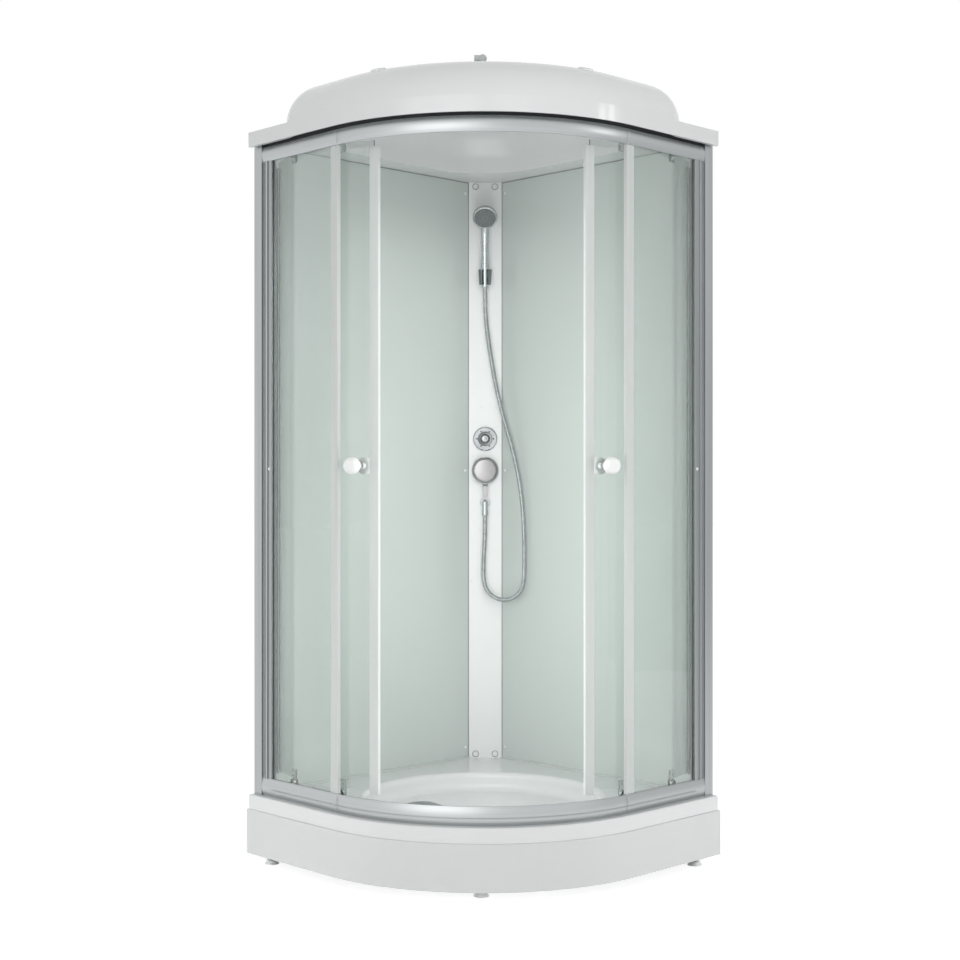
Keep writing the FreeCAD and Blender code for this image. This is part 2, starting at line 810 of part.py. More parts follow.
def make_corner_column():
    """Hollow extrusion across the corner: flanges behind the panels, a window for the supply hoses."""
    wall = dim("column_wall")
    step = HALF_ROOT * (dim("panel_thickness") + dim("fit_gap"))
    out = HALF_ROOT * dim("flange_reach")
    thick = HALF_ROOT * wall
    edge = (column_half, column_face)
    behind = (edge[0] + step, edge[1] + step)
    tip = (behind[0] + out, behind[1] - out)
    tip_back = (tip[0] + thick, tip[1] + thick)
    corner_back = (0.0, tip_back[0] + tip_back[1])
    right = [edge, behind, tip, tip_back]
    left = [(-x, y) for x, y in reversed(right)]
    front = column_face + wall
    diagonal = behind[0] + behind[1]
    notch = column_face - column_half + wall * math.sqrt(2.0)
    inner_edge = (front - notch, front)
    inner_side = ((diagonal - notch) / 2.0, (diagonal + notch) / 2.0)
    left_side = (-inner_side[0], inner_side[1])
    void = [(-inner_edge[0], front), inner_edge, inner_side, (0.0, diagonal), left_side]
    body = new_body("column_extrusion")
    sketch = new_sketch(body, "column_section", lift="dims.rim")
    draw(sketch, right + [corner_back] + left)
    draw(sketch, void)
    pad(body, sketch, "dims.wall_height")
    body.Placement = ARC_CENTRE
    holes = []
    heights = [dim("mixer_height"), dim("mixer_height") + dim("diverter_rise")]
    for index, height in enumerate(heights):
        place = forward(0.0, column_y + wall, height)
        radius = "dims.neck_radius + dims.fit_gap"
        holes.append(cylinder(f"neck_hole_{index}", place, radius, "dims.column_wall"))
    outlet_at = forward(0.0, column_y + wall, dim("mixer_height") - dim("outlet_drop"))
    outlet_radius = "dims.outlet_tube_radius + dims.fit_gap"
    holes.append(cylinder("outlet_hole", outlet_at, outlet_radius, "dims.column_wall"))
    window_z = outlet_at.Base.z - dim("service_drop")
    window_at = at(-dim("service_width") / 2.0, arc_y + corner_back[1] - dim("service_depth"), window_z)
    window = ("dims.service_width", "dims.service_depth", "dims.service_height")
    holes.append(box("service_window", window_at, *window))
    return cut("corner_column", body, holes)


def cap_cone(caps, place, kind):
    """Low screw cap, a little smaller at its face, added to the caps of its kind."""
    item = doc.addObject("Part::Cone", f"{kind}_{len(caps)}")
    bind(item, Radius1=f"dims.{kind}_radius", Height=f"dims.{kind}_height")
    bind(item, Radius2=f"dims.{kind}_radius - dims.{kind}_height / 2")
    item.Placement = place
    caps.append(item)


def make_caps():
    """Caps on the column's four screws, and the smaller ones on the panels and channels."""
    column_caps, small_caps = [], []
    ends = [rim + dim("column_cap_end"), ceiling - dim("column_cap_end")]
    for side in (-1, 1):
        for height in ends:
            place = forward(side * dim("column_cap_spread") / 2.0, column_y, height)
            cap_cone(column_caps, place, "column_cap")
        offset = panel_start + dim("panel_cap_edge")
        for height in (rim + dim("panel_cap_end"), dim("mixer_height"), ceiling - dim("panel_cap_end")):
            turn = Rotation(Vector(0, 1, 0), -90.0)
            place = side_frame(side) * Placement(Vector(panel_reach, -side * offset, height), turn)
            cap_cone(small_caps, place, "panel_cap")
        face = pane_offset + dim("channel_depth") / 2.0
        reach = channel_reach + 2.0 * dim("panel_cap_radius")
        turn = Rotation(Vector(1, 0, 0), 90.0 * side)
        place = side_frame(side) * Placement(Vector(reach, -side * face, dim("mixer_height")), turn)
        cap_cone(small_caps, place, "panel_cap")
    return [group("column_screw_caps", column_caps), group("small_screw_caps", small_caps)]


# Posts, rails and fixed panes
def side_section(label, side, loops, lift, height, holds=()):
    """Vertical extrusion in a side frame; loops are drawn as (reach, offset)."""
    body = new_body(label)
    sketch = new_sketch(body, f"{label}_section", lift=lift)
    for index, loop in enumerate(loops):
        first = draw(sketch, [(reach, -side * offset) for reach, offset in loop])
        if index == 0:
            for line, cell in holds:
                hold_length(sketch, first + line, cell)
    pad(body, sketch, height)
    body.Placement = side_frame(side)
    return body


def make_wall_post(name, side):
    """Hollow silver post at the wall, from the tray to the roof."""
    wall = dim("post_wall")
    outer = rectangle(post_reach, post_back, straight, rail_front)
    inner = rectangle(post_reach + wall, post_back + wall, straight - wall, rail_front - wall)
    holds = [(1, "dims.post_width"), (2, "dims.post_depth")]
    return side_section(f"{name}_wall_post", side, [outer, inner], "dims.rim", "dims.wall_height", holds)


def socket_loop(open_reach, closed_reach, depth, bite, slot):
    """U section about a fixed pane, open towards one reach and closed towards the other."""
    half = depth / 2.0
    slot_half = slot / 2.0
    turn = 1.0 if closed_reach > open_reach else -1.0
    bottom = open_reach + turn * bite
    return [
        (open_reach, pane_offset - half), (closed_reach, pane_offset - half),
        (closed_reach, pane_offset + half), (open_reach, pane_offset + half),
        (open_reach, pane_offset + slot_half), (bottom, pane_offset + slot_half),
        (bottom, pane_offset - slot_half), (open_reach, pane_offset - slot_half),
    ]


pane_slot = dim("pane_thickness") + 2.0 * dim("fit_gap")
pane_end = channel_reach + dim("channel_bite") - dim("fit_gap")
pane_length = write_cell("pane_length", pane_end - dim("pane_edge_reach"))
pane_height = write_cell("pane_height", pane_socket - pane_seat - 2.0 * dim("fit_gap"))


def make_glass_channel(name, side):
    """Channel on the post that holds the fixed pane."""
    loop = socket_loop(channel_reach, post_reach, dim("channel_depth"), dim("channel_bite"), pane_slot)
    holds = [(1, "dims.channel_width")]
    label = f"{name}_glass_channel"
    return side_section(label, side, [loop], "dims.opening_foot", "dims.opening_height", holds)


def make_fixed_pane(name, side):
    """Flat fixed pane from its channel to just before the arc."""
    low = pane_offset - dim("pane_thickness") / 2.0
    high = low + dim("pane_thickness")
    foot = pane_seat + dim("fit_gap")
    place = side_frame(side) * at(dim("pane_edge_reach"), side_y(side, low, high), foot)
    item = box(f"{name}_fixed_glass", place, "dims.pane_length", "dims.pane_thickness", "dims.pane_height")
    item.Label = f"{name}_fixed_glass"
    return item


def make_fixed_seal(name, side):
    """Soft white seal over the free edge of a fixed pane."""
    closed = dim("pane_edge_reach") + dim("pane_seal_bite") - dim("pane_seal_width")
    opened = dim("pane_edge_reach") + dim("pane_seal_bite")
    bite = dim("pane_seal_bite") + dim("fit_gap")
    loop = socket_loop(opened, closed, dim("pane_seal_depth"), bite, pane_slot)
    holds = [(1, "dims.pane_seal_width")]
    label = f"{name}_fixed_seal"
    return side_section(label, side, [loop], "dims.opening_foot", "dims.opening_height", holds)


seat_in = pane_offset - dim("pane_thickness") / 2.0 - dim("pane_clearance")
seat_out = pane_offset + dim("pane_thickness") / 2.0 + dim("pane_clearance")


def make_bottom_rail():
    """Curved rail on the tray: bowed front, a seat for the panes and a flat track for the rollers."""
    shoulder = rail_front - dim("rail_bulge")
    wall = dim("rail_wall")
    section = [
        (rail_back, rim), (shoulder, rim),
        ((rail_front, (rim + bottom_rail_top) / 2.0), (shoulder, bottom_rail_top)),
        (seat_out, bottom_rail_top), (seat_out, pane_seat), (seat_in, pane_seat),
        (seat_in, bottom_track), (rail_back, bottom_track),
    ]
    void = rectangle(rail_back + wall, rim + wall, seat_out - wall, bottom_track - wall)
    holds = [(0, "dims.bottom_track_height")]
    return front_run("bottom_rail", section, "dims.rail_reach", holds, [void])


def make_top_rail():
    """Curved rail under the roof: bowed front, a socket for the panes and a flat guide above."""
    shoulder = rail_front - dim("rail_bulge")
    section = [
        (rail_back, top_rail_top), (rail_back, top_track), (seat_in, top_track), (seat_in, pane_socket),
        (seat_out, pane_socket), (seat_out, top_rail_bottom), (shoulder, top_rail_bottom),
        ((rail_front, (top_rail_bottom + top_rail_top) / 2.0), (shoulder, top_rail_top)),
    ]
    return front_run("top_rail", section, "dims.rail_reach", [(1, "dims.top_track_drop")])


# Doors, drawn closed about the arc centre and then carried to their open rest
door_arc_length = run * HALF_ARC + dim("door_overlap")
roller_pitch = door_arc_length - dim("roller_lead") - dim("roller_tail")
door_start = (dim("nose_length") + dim("meeting_gap")) / run
door_end = door_start + door_arc_length / run
lead_angle = door_start + dim("roller_lead") / run
trail_angle = lead_angle + 2.0 * math.asin(roller_pitch / (2.0 * run))
knob_angle = door_start + dim("knob_back") / run
# An open door stops before the wall, or sooner where its knob comes to the fixed pane
wall_stop = straight - dim("door_wall_gap") - dim("roller_tail")
trail_reach = min(wall_stop, dim("knob_stop_reach") + roller_pitch)
door_foot = write_cell("door_foot", bottom_rail_top + dim("door_bottom_lift"))
door_head = top_rail_bottom + dim("door_top_tuck")
door_height = write_cell("door_height", door_head - door_foot)
seal_foot = write_cell("seal_foot", bottom_rail_top + dim("seal_bottom_gap"))
seal_height = write_cell("seal_height", top_rail_bottom - dim("seal_top_gap") - seal_foot)
plate_face = run - dim("door_glass") / 2.0 - dim("hanger_gap")
low_axle = bottom_track + dim("roller_gap") + dim("roller_radius")
high_axle = top_track - dim("roller_gap") - dim("guide_radius")
axle_margin = 2.0 * dim("axle_radius")
write_cell("low_hanger_height", door_foot + dim("hanger_grip") - low_axle + axle_margin)
write_cell("high_hanger_height", high_axle - door_head + dim("hanger_grip") + axle_margin)


def polar(radius, angle):
    """Plan point about the arc centre, its angle in radians from the front."""
    return (radius * math.sin(angle), -radius * math.cos(angle))


def open_lead():
    """Plan point about the arc centre of the right door's leading rollers when it stands open."""
    if trail_reach >= roller_pitch:
        return Vector(*front_point(run, trail_reach - roller_pitch, 1), 0)
    far = math.hypot(run, trail_reach)
    between = math.acos((run ** 2 + far ** 2 - roller_pitch ** 2) / (2.0 * run * far))
    return Vector(*polar(run, HALF_ARC + math.atan(trail_reach / run) - between), 0)


opened = open_lead()
chord = Vector(*front_point(run, trail_reach, 1), 0) - opened
door_turn = math.degrees(math.atan2(chord.y, chord.x) - (lead_angle + trail_angle) / 2.0)


def door_pole():
    """Point about the arc centre that the right door turns about between closed and open."""
    closed = Vector(*polar(run, lead_angle), 0)
    travel = opened - closed
    half_cotangent = 0.5 / math.tan(math.radians(door_turn) / 2.0)
    return (closed + opened) / 2.0 + Vector(-travel.y, travel.x, 0) * half_cotangent


def door_pose(side):
    """Placement from a door's closed place about the arc centre to its open rest."""
    pole = door_pole()
    return ARC_CENTRE * Placement(Vector(), Rotation(UP, side * door_turn), Vector(side * pole.x, pole.y, 0))


def door_place(side, angle, radius, height):
    """Placement on an open door whose local Z points outwards."""
    return door_pose(side) * radial(side * math.degrees(angle), radius, height)


def sector(inner, outer, start, end):
    """Plan loop of a piece of a ring about the arc centre."""
    middle = (start + end) / 2.0
    return [
        (polar(inner, middle), polar(inner, start)),
        polar(outer, start),
        (polar(outer, middle), polar(outer, end)),
        polar(inner, end),
    ]


def make_door_glass(name, side):
    """Bent pane, drilled for its knob and for the hangers."""
    half = dim("door_glass") / 2.0
    body = new_body(f"{name}_pane")
    sketch = new_sketch(body, f"{name}_pane_plan", lift="dims.door_foot")
    first = draw(sketch, sector(run - half, run + half, side * door_start, side * door_end))
    hold_radius(sketch, first + 2, "dims.front_radius - dims.run_inset + dims.door_glass / 2")
    pad(body, sketch, "dims.door_height")
    body.Placement = door_pose(side)
    spots = [(knob_angle, dim("knob_height"), "dims.knob_bolt_radius + dims.hole_clearance")]
    for angle in (lead_angle, trail_angle):
        for height in (door_foot + dim("hanger_grip") / 2.0, door_head - dim("hanger_grip") / 2.0):
            spots.append((angle, height, "dims.hanger_bolt_radius + dims.hole_clearance"))
    drills = []
    for index, (angle, height, radius) in enumerate(spots):
        place = door_place(side, angle, run - dim("door_glass"), height)
        drills.append(cylinder(f"{name}_drill_{index}", place, radius, "2 * dims.door_glass"))
    return cut(f"{name}_door_glass", body, drills)


def make_edge_seal(label, side, edge, outward, length):
    """Soft profile pushed over an upright edge of a door's glass."""
    depth = dim("seal_depth") / 2.0
    slot = dim("door_glass") / 2.0 + dim("seal_slack")
    tip = side * (edge + outward * length / run)
    mouth = side * (edge - outward * dim("seal_bite") / run)
    bottom = side * (edge + outward * dim("seal_slack") / run)
    whole = (tip + mouth) / 2.0
    within = (bottom + mouth) / 2.0
    loop = [
        (polar(run - depth, whole), polar(run - depth, tip)),
        polar(run + depth, tip),
        (polar(run + depth, whole), polar(run + depth, mouth)),
        polar(run + slot, mouth),
        (polar(run + slot, within), polar(run + slot, bottom)),
        polar(run - slot, bottom),
        (polar(run - slot, within), polar(run - slot, mouth)),
        polar(run - depth, mouth),
    ]
    body = new_body(label)
    sketch = new_sketch(body, f"{label}_plan", lift="dims.seal_foot")
    draw(sketch, loop)
    pad(body, sketch, "dims.seal_height")
    body.Placement = door_pose(side)
    return body


def knob_profile():
    """Half outline of a mushroom knob from its foot to its crown, as (radius, height)."""
    foot, neck = dim("knob_foot_radius"), dim("knob_neck_radius")
    rise = dim("knob_neck_length")
    top = rise + dim("knob_head_length")
    under = (dim("knob_under_radius"), rise)
    widest = (dim("knob_radius"), rise + dim("knob_widest"))
    crown = (dim("knob_crown_radius"), top)
    return [
        (foot, 0.0), (foot, dim("knob_foot_height")), (neck, dim("knob_neck_start")), (neck, rise),
        under, bowed(under, widest), bowed(widest, crown), (0.0, top),
    ]


def make_knobs(name, side):
    """Outer knob with the bolt that goes through the glass, and the inner knob it screws into."""
    bolt = dim("knob_bolt_radius")
    bore = bolt + dim("hole_clearance")
    through = dim("door_glass") + 2.0 * dim("fit_gap")
    reach = through + dim("knob_bolt_reach")
    depth = dim("knob_bore_depth")
    half = dim("door_glass") / 2.0 + dim("fit_gap")
    outer_at = door_place(side, knob_angle, run + half, dim("knob_height"))
    outer_half = [(0.0, -reach), (bolt, -reach), (bolt, 0.0)] + knob_profile()
    outer = spun(f"{name}_outer_knob", outer_half, outer_at)
    inner_at = outer_at * Placement(Vector(0, 0, -2.0 * half), Rotation(Vector(1, 0, 0), 180.0))
    inner_half = [(0.0, depth), (bore, depth), (bore, 0.0)] + knob_profile()
    inner = spun(f"{name}_inner_knob", inner_half, inner_at)
    return group(f"{name}_door_knobs", [outer, inner])


def make_hanger(name, place, upright, height, edge):
    """Plate on the inner face of the glass with the axle of one roller and a stud into the glass.

    Upright is +1 where the glass lies above the axle; edge is how far off the glass edge is.
    """
    low = -axle_margin if upright > 0 else axle_margin - dim(height)
    corner = at(-dim("hanger_width") / 2.0, low, -dim("hanger_depth"))
    root = -dim("hanger_depth") / 2.0
    stud_y = upright * (edge + dim("hanger_grip") / 2.0)
    half_plate = "dims.hanger_depth / 2"
    return fuse(name, [
        box(f"{name}_plate", place * corner, "dims.hanger_width", f"dims.{height}", "dims.hanger_depth"),
        cylinder(f"{name}_axle", place * at(0, 0, root), "dims.axle_radius",
                 f"{half_plate} + dims.roller_gap + dims.roller_width"),
        cylinder(f"{name}_stud", place * at(0, stud_y, root), "dims.hanger_bolt_radius",
                 f"{half_plate} + dims.hanger_gap + dims.door_glass"),
    ])


def make_hangers(name, side):
    """Four hangers of a door, two at the bottom and two at the top."""
    hangers = []
    for key, angle in (("lead", lead_angle), ("trail", trail_angle)):
        low_at = door_place(side, angle, plate_face, low_axle)
        high_at = door_place(side, angle, plate_face, high_axle)
        low_edge = door_foot - low_axle
        high_edge = high_axle - door_head
        hangers.append(make_hanger(f"{name}_low_{key}", low_at, 1, "low_hanger_height", low_edge))
        hangers.append(make_hanger(f"{name}_high_{key}", high_at, -1, "high_hanger_height", high_edge))
    return group(f"{name}_door_hangers", hangers)


def make_roller(label, place, radius):
    """Wheel with broken edges on its axle."""
    bore = dim("axle_radius") + dim("axle_clearance")
    wide = dim("roller_width")
    edge = dim("roller_chamfer")
    rim_half = [(radius - edge, 0.0), (radius, edge), (radius, wide - edge), (radius - edge, wide)]
    return spun(label, [(bore, 0.0)] + rim_half + [(bore, wide)], place)


def make_rollers(name, side):
    """Two running wheels on the bottom rail and two guide wheels under the top rail."""
    rollers = []
    for key, angle in (("lead", lead_angle), ("trail", trail_angle)):
        seat = plate_face + dim("roller_gap")
        low_at = door_place(side, angle, seat, low_axle)
        high_at = door_place(side, angle, seat, high_axle)
        rollers.append(make_roller(f"{name}_bottom_{key}_roller", low_at, dim("roller_radius")))
        rollers.append(make_roller(f"{name}_top_{key}_roller", high_at, dim("guide_radius")))
    return rollers


# Roof
def dome_outline(inset):
    """Plan of the dome: the quadrant pulled back from the walls, its room corner cut off."""
    offset = roof_edge - inset
    reach = straight - dim("dome_setback") - inset
    half = dim("dome_chamfer") / 2.0
    corner = quadrant(offset, reach)
    tip = corner[0][1]
    return [(-half, tip - half), (half, tip - half)] + corner[1:]


def make_dome(label, inset, foot, rounds):
    """Block with the dome's rounded form and the crown on it; rounds are its three fillets."""
    body = new_body(label)
    sketch = new_sketch(body, f"{label}_plan", lift=foot)
    draw(sketch, dome_outline(inset))
    pad(body, sketch, f"dims.dome_top - {foot} - {inset}")
    top = dome_top - inset
    round_edges(body, rounds[0], lambda edge: edge.BoundBox.ZLength > NEAR and sharp_corner(edge, inset))
    round_edges(body, rounds[1], lambda edge: level(edge, top))
    crown = new_sketch(body, f"{label}_crown", lift=f"dims.dome_top - {inset}")
    circle(crown, 0.0, -dim("crown_forward"), f"dims.crown_radius - {inset}")
    pad(body, crown, "dims.crown_height")
    round_edges(body, rounds[2], lambda edge: level(edge, top + dim("crown_height")))
    body.Placement = ARC_CENTRE
    return body


def sharp_corner(edge, inset):
    """True at the upright edges of the dome where two sides meet at an angle."""
    point = edge.CenterOfMass
    seam = Vector(*front_point(roof_edge - inset, 0.0, 1), point.z)
    return Vector(abs(point.x), point.y, point.z).distanceToPoint(seam) > NEAR


def make_roof_shell():
    """Thin domed roof with a raised rim and a lip that hangs in front of the dark strip."""
    flange = new_body("roof_rim")
    outline = new_sketch(flange, "rim_plan", lift="dims.roof_bottom")
    first = draw(outline, quadrant(roof_edge, straight))
    hold_radius(outline, first + 3, "dims.front_radius - dims.roof_inset")
    pad(flange, outline, "dims.roof_flange")
    recess = new_sketch(flange, "rim_recess", lift="dims.flange_top")
    draw(recess, quadrant(roof_edge - dim("rim_width"), straight - dim("rim_width")))
    pocket(flange, recess, "dims.flange_top - dims.ceiling_height - dims.roof_skin")
    flange.Placement = ARC_CENTRE
    under = new_body("roof_under")
    under_plan = new_sketch(under, "under_plan", lift="dims.roof_bottom")
    draw(under_plan, quadrant(roof_edge - dim("roof_lip"), straight))
    pad(under, under_plan, "dims.ceiling_height - dims.roof_bottom")
    under.Placement = ARC_CENTRE
    outside = ("dims.dome_corner", "dims.dome_round", "dims.crown_round")
    inside = [f"{cell} - dims.roof_skin" for cell in outside]
    dome = make_dome("dome_outside", 0.0, "dims.ceiling_height", outside)
    hollow = make_dome("dome_inside", dim("roof_skin"), "dims.roof_bottom", inside)
    neck_at = ARC_CENTRE * at(0, -dim("crown_forward"), dome_top)
    neck_radius = "dims.rose_neck_radius + dims.fit_gap"
    neck = cylinder("roof_neck_hole", neck_at, neck_radius, "2 * dims.crown_height")
    return cut("roof_shell", fuse("roof_solid", [flange, dome]), [hollow, under, neck])


def make_roof_strip():
    """Dark strip between the top rail and the roof, along the front, set back behind the roof's lip."""
    outer = roof_edge - dim("roof_lip") - dim("strip_setback")
    section = rectangle(outer - dim("strip_depth"), top_rail_top, outer, ceiling)
    return front_run("roof_strip", section, "dims.rail_reach", [(1, "dims.strip_depth")])


def make_roof_elbow():
    """Grey elbow with a nut, where the supply to the overhead rose enters the roof."""
    place = ARC_CENTRE * at(0, -dim("crown_forward"), crown_top)
    nut = doc.addObject("Part::Prism", "elbow_nut")
    nut.Polygon = 6
    bind(nut, Circumradius="dims.elbow_nut_radius", Height="dims.elbow_nut_height")
    nut.Placement = place
    rise = "dims.elbow_height - dims.elbow_knee_radius"
    bend_at = place * at(0, 0, dim("elbow_height") - dim("elbow_knee_radius"))
    stem = cylinder("elbow_stem", place, "dims.elbow_radius", rise)
    knee = doc.addObject("Part::Sphere", "elbow_knee")
    bind(knee, Radius="dims.elbow_knee_radius")
    knee.Placement = bend_at
    arm_at = bend_at * Placement(Vector(), Rotation(Vector(0, 1, 0), -90.0))
    neck = cylinder("elbow_neck", arm_at, "dims.elbow_radius - dims.elbow_relief", "dims.elbow_arm")
    end_at = arm_at * at(0, 0, dim("elbow_collar"))
    end = cylinder("elbow_end", end_at, "dims.elbow_radius", "dims.elbow_arm - dims.elbow_collar")
    bore = "dims.rose_neck_radius - dims.pipe_wall"
    drop_bore = cylinder("elbow_drop_bore", place, bore, rise)
    arm_bore = cylinder("elbow_arm_bore", arm_at, bore, "dims.elbow_arm")
    return cut("roof_elbow", fuse("elbow_solid", [nut, stem, knee, neck, end]), [drop_bore, arm_bore])


def make_overhead_rose():
    """Spray head in the dome, on a neck that reaches the elbow through the roof."""
    neck = dim("rose_neck_radius")
    bore = neck - dim("pipe_wall")
    tall = dim("rose_drop") + dim("roof_skin")
    disc = dim("rose_radius")
    face = -tall - dim("rose_height")
    profile = [
        (bore, 0.0), (bore, -tall), (0.0, -tall), (0.0, face), (disc, face),
        (disc, face + dim("rose_rim_height")), (dim("rose_shoulder_radius"), -tall),
        (neck, -tall), (neck, 0.0),
    ]
    return spun("overhead_rose", profile, ARC_CENTRE * at(0, -dim("crown_forward"), crown_top))


# Mixer, diverter and valve, in places measured forwards from the column's face
mixer_z = dim("mixer_height")
diverter_z = mixer_z + dim("diverter_rise")
outlet_z = mixer_z - dim("outlet_drop")


def make_valve_body():
    """Brass block inside the column with two necks and two threaded inlet tails."""
    front = dim("column_wall") + dim("fit_gap")
    low = outlet_z - dim("valve_margin")
    write_cell("valve_height", diverter_z + dim("valve_margin") - low)
    block_at = at(-dim("valve_width") / 2.0, column_y + front, low)
    pieces = [box("valve_block", block_at, "dims.valve_width", "dims.valve_depth", "dims.valve_height")]
    bores = []
    middle = column_y + front + dim("valve_depth") / 2.0
    for index, height in enumerate((mixer_z, diverter_z)):
        neck_at = forward(0.0, middle, height)
        neck_length = "dims.column_wall + dims.fit_gap + dims.valve_depth / 2"
        pieces.append(cylinder(f"valve_neck_{index}", neck_at, "dims.neck_radius", neck_length))
        bore_at = forward(0.0, column_y + dim("stem_depth") + dim("fit_gap"), height)
        bore_radius = "dims.stem_radius + dims.stem_clearance"
        bores.append(cylinder(f"valve_bore_{index}", bore_at, bore_radius, "dims.stem_depth + dims.fit_gap"))
    nozzle_at = forward(0.0, middle, outlet_z)
    nozzle_radius = "dims.outlet_tube_radius - dims.pipe_wall"
    pieces.append(cylinder("valve_nozzle", nozzle_at, nozzle_radius, "dims.valve_depth / 2 + dims.fit_gap"))
    for side in (-1, 1):
        tail_at = at(side * dim("inlet_spread") / 2.0, middle, low - dim("inlet_length"))
        tail_length = "dims.inlet_length + dims.valve_margin / 2"
        pieces.append(cylinder(f"inlet_tail_{side + 1}", tail_at, "dims.inlet_radius", tail_length))
        tail_bore = "dims.inlet_radius - dims.pipe_wall"
        bores.append(cylinder(f"inlet_bore_{side + 1}", tail_at, tail_bore, tail_length))
    return cut("valve_body", fuse("valve_solid", pieces), bores)


def make_rosette(label, place, kind):
    """Ring on the column's face with a broken front edge."""
    outer, tall, bore = dim(f"{kind}_radius"), dim(f"{kind}_height"), dim(f"{kind}_bore")
    edge = tall / 2.0
    profile = [(bore, 0.0), (outer, 0.0), (outer, edge), (outer - edge, tall), (bore, tall)]
    return spun(label, profile, place)


def make_mixer():
    """Rosette, turning stem with its collar, and the domed handle that tilts on the stem."""
    place = forward(0.0, column_y, mixer_z)
    rosette = make_rosette("mixer_rosette", place, "rosette")
    collar_low = dim("fit_gap")
    collar_high = collar_low + dim("collar_height")
    stem_radius = dim("stem_radius")
    stem_top = dim("pivot_forward") + axle_margin
    turned = spun("stem_turned", [
        (0.0, -dim("stem_depth")), (stem_radius, -dim("stem_depth")), (stem_radius, collar_low),
        (dim("collar_radius"), collar_low), (dim("collar_radius"), collar_high),
        (stem_radius, collar_high), (stem_radius, stem_top), (0.0, stem_top),
    ], place)
    pin_turn = Rotation(Vector(0, 1, 0), 90.0)
    pin_half = stem_radius + dim("lug_gap") + dim("lug_width")
    pin_at = place * Placement(Vector(-pin_half, 0, dim("pivot_forward")), pin_turn)
    pin_length = "2 * (dims.stem_radius + dims.lug_gap + dims.lug_width)"
    pin_hole = cylinder("stem_pin_hole", pin_at, "dims.pivot_pin_radius + dims.stem_clearance", pin_length)
    stem = cut("mixer_stem", turned, [pin_hole])
    handle = make_mixer_handle(place, pin_at, pin_length)
    return [rosette, stem, handle]


def make_mixer_handle(place, pin_at, pin_length):
    """Hollow dome with a lever below it and two lugs that carry the pivot pin."""
    radius, low = dim("handle_radius"), dim("handle_forward")
    rise, wall = dim("handle_dome"), dim("handle_wall")
    edge = low + wall
    hollow = radius - wall
    inner_edge = low + wall / 2.0
    inner_rise = rise - wall - (inner_edge - low)
    inner_middle, inner_top = crown_step(hollow, inner_edge, inner_rise)
    dome = spun("handle_dome", [
        (hollow, low), (radius, low), (radius, edge), crown_step(radius, edge, rise - wall),
        inner_top, (inner_middle, (hollow, inner_edge)),
    ], place)
    lever_at = place * at(-dim("lever_width") / 2.0, -radius - dim("lever_length"), low)
    lever_length = "dims.lever_length + dims.handle_wall"
    lever = box("handle_lever", lever_at, "dims.lever_width", lever_length, "dims.lever_thickness")
    pin = cylinder("handle_pin", pin_at, "dims.pivot_pin_radius", pin_length)
    lugs = []
    for side in (-1, 1):
        inner_x = dim("stem_radius") + dim("lug_gap")
        lug_x = inner_x if side > 0 else -inner_x - dim("lug_width")
        lug_at = place * at(lug_x, -axle_margin, dim("pivot_forward") - axle_margin)
        lug_size = ("dims.lug_width", "4 * dims.axle_radius", "dims.lug_reach")
        lugs.append(box(f"handle_lug_{side + 1}", lug_at, *lug_size))
    return fuse("mixer_handle", [dome, lever, pin] + lugs)


def make_diverter():
    """Rosette and the lobed knob that turns in it."""
    place = forward(0.0, column_y, diverter_z)
    rosette = make_rosette("diverter_rosette", place, "diverter_rosette")
    base = place * at(0, 0, dim("diverter_rosette_height") + dim("fit_gap"))
    lobe, tall = "dims.diverter_lobe_radius", "dims.diverter_knob_height"
    core_radius = dim("diverter_knob_radius") - dim("diverter_lobe_radius")
    stem_at = place * at(0, 0, -dim("stem_depth"))
    stem_length = f"dims.stem_depth + dims.diverter_rosette_height + {tall} / 2"
    pieces = [
        cylinder("knob_core", base, f"dims.diverter_knob_radius - {lobe}", tall),
        cylinder("knob_stem", stem_at, "dims.stem_radius", stem_length),
    ]
    count = int(dim("diverter_lobes"))
    for index in range(count):
        turn = Placement(Vector(), Rotation(UP, 360.0 * index / count))
        lobe_at = base * turn * at(0, core_radius, 0)
        pieces.append(cylinder(f"knob_lobe_{index}", lobe_at, lobe, tall))
    return [rosette, fuse("diverter_knob", pieces)]


# Hose outlet, hose, handset and its holder
def make_hose_outlet():
    """Chrome elbow out of the column, turning down to the hose."""
    place = forward(0.0, column_y, outlet_z)
    reach = dim("outlet_forward")
    knee_at = place * at(0, 0, reach)
    leg_at = Placement(knee_at.Base, Rotation(Vector(1, 0, 0), 180.0))
    nipple_at = place * at(0, 0, -dim("column_wall"))
    arm_length = "dims.column_wall + dims.outlet_forward"
    arm = cylinder("outlet_arm", nipple_at, "dims.outlet_tube_radius", arm_length)
    ring = cylinder("outlet_ring", place, "dims.outlet_rosette_radius", "dims.outlet_rosette_height")
    leg = cylinder("outlet_leg", leg_at, "dims.outlet_tube_radius", "dims.outlet_leg")
    knee = doc.addObject("Part::Sphere", "outlet_knee")
    bind(knee, Radius="dims.outlet_tube_radius")
    knee.Placement = knee_at
    bore = "dims.outlet_tube_radius - dims.pipe_wall"
    arm_bore = cylinder("outlet_arm_bore", nipple_at, bore, arm_length)
    leg_bore = cylinder("outlet_leg_bore", leg_at, bore, "dims.outlet_leg")
    return cut("hose_outlet", fuse("outlet_solid", [arm, ring, leg, knee]), [arm_bore, leg_bore])


outlet_y = column_y - dim("outlet_forward")
hose_end_z = outlet_z - dim("outlet_leg") - dim("hose_nut_height")
cone_foot = -dim("cone_below")
fork_height = ceiling - dim("fork_drop")
fork_middle = Vector(0, column_y - dim("fork_forward"), fork_height)
HANDSET = Placement(fork_middle, Rotation(Vector(1, 0, 0), dim("handset_tilt")))


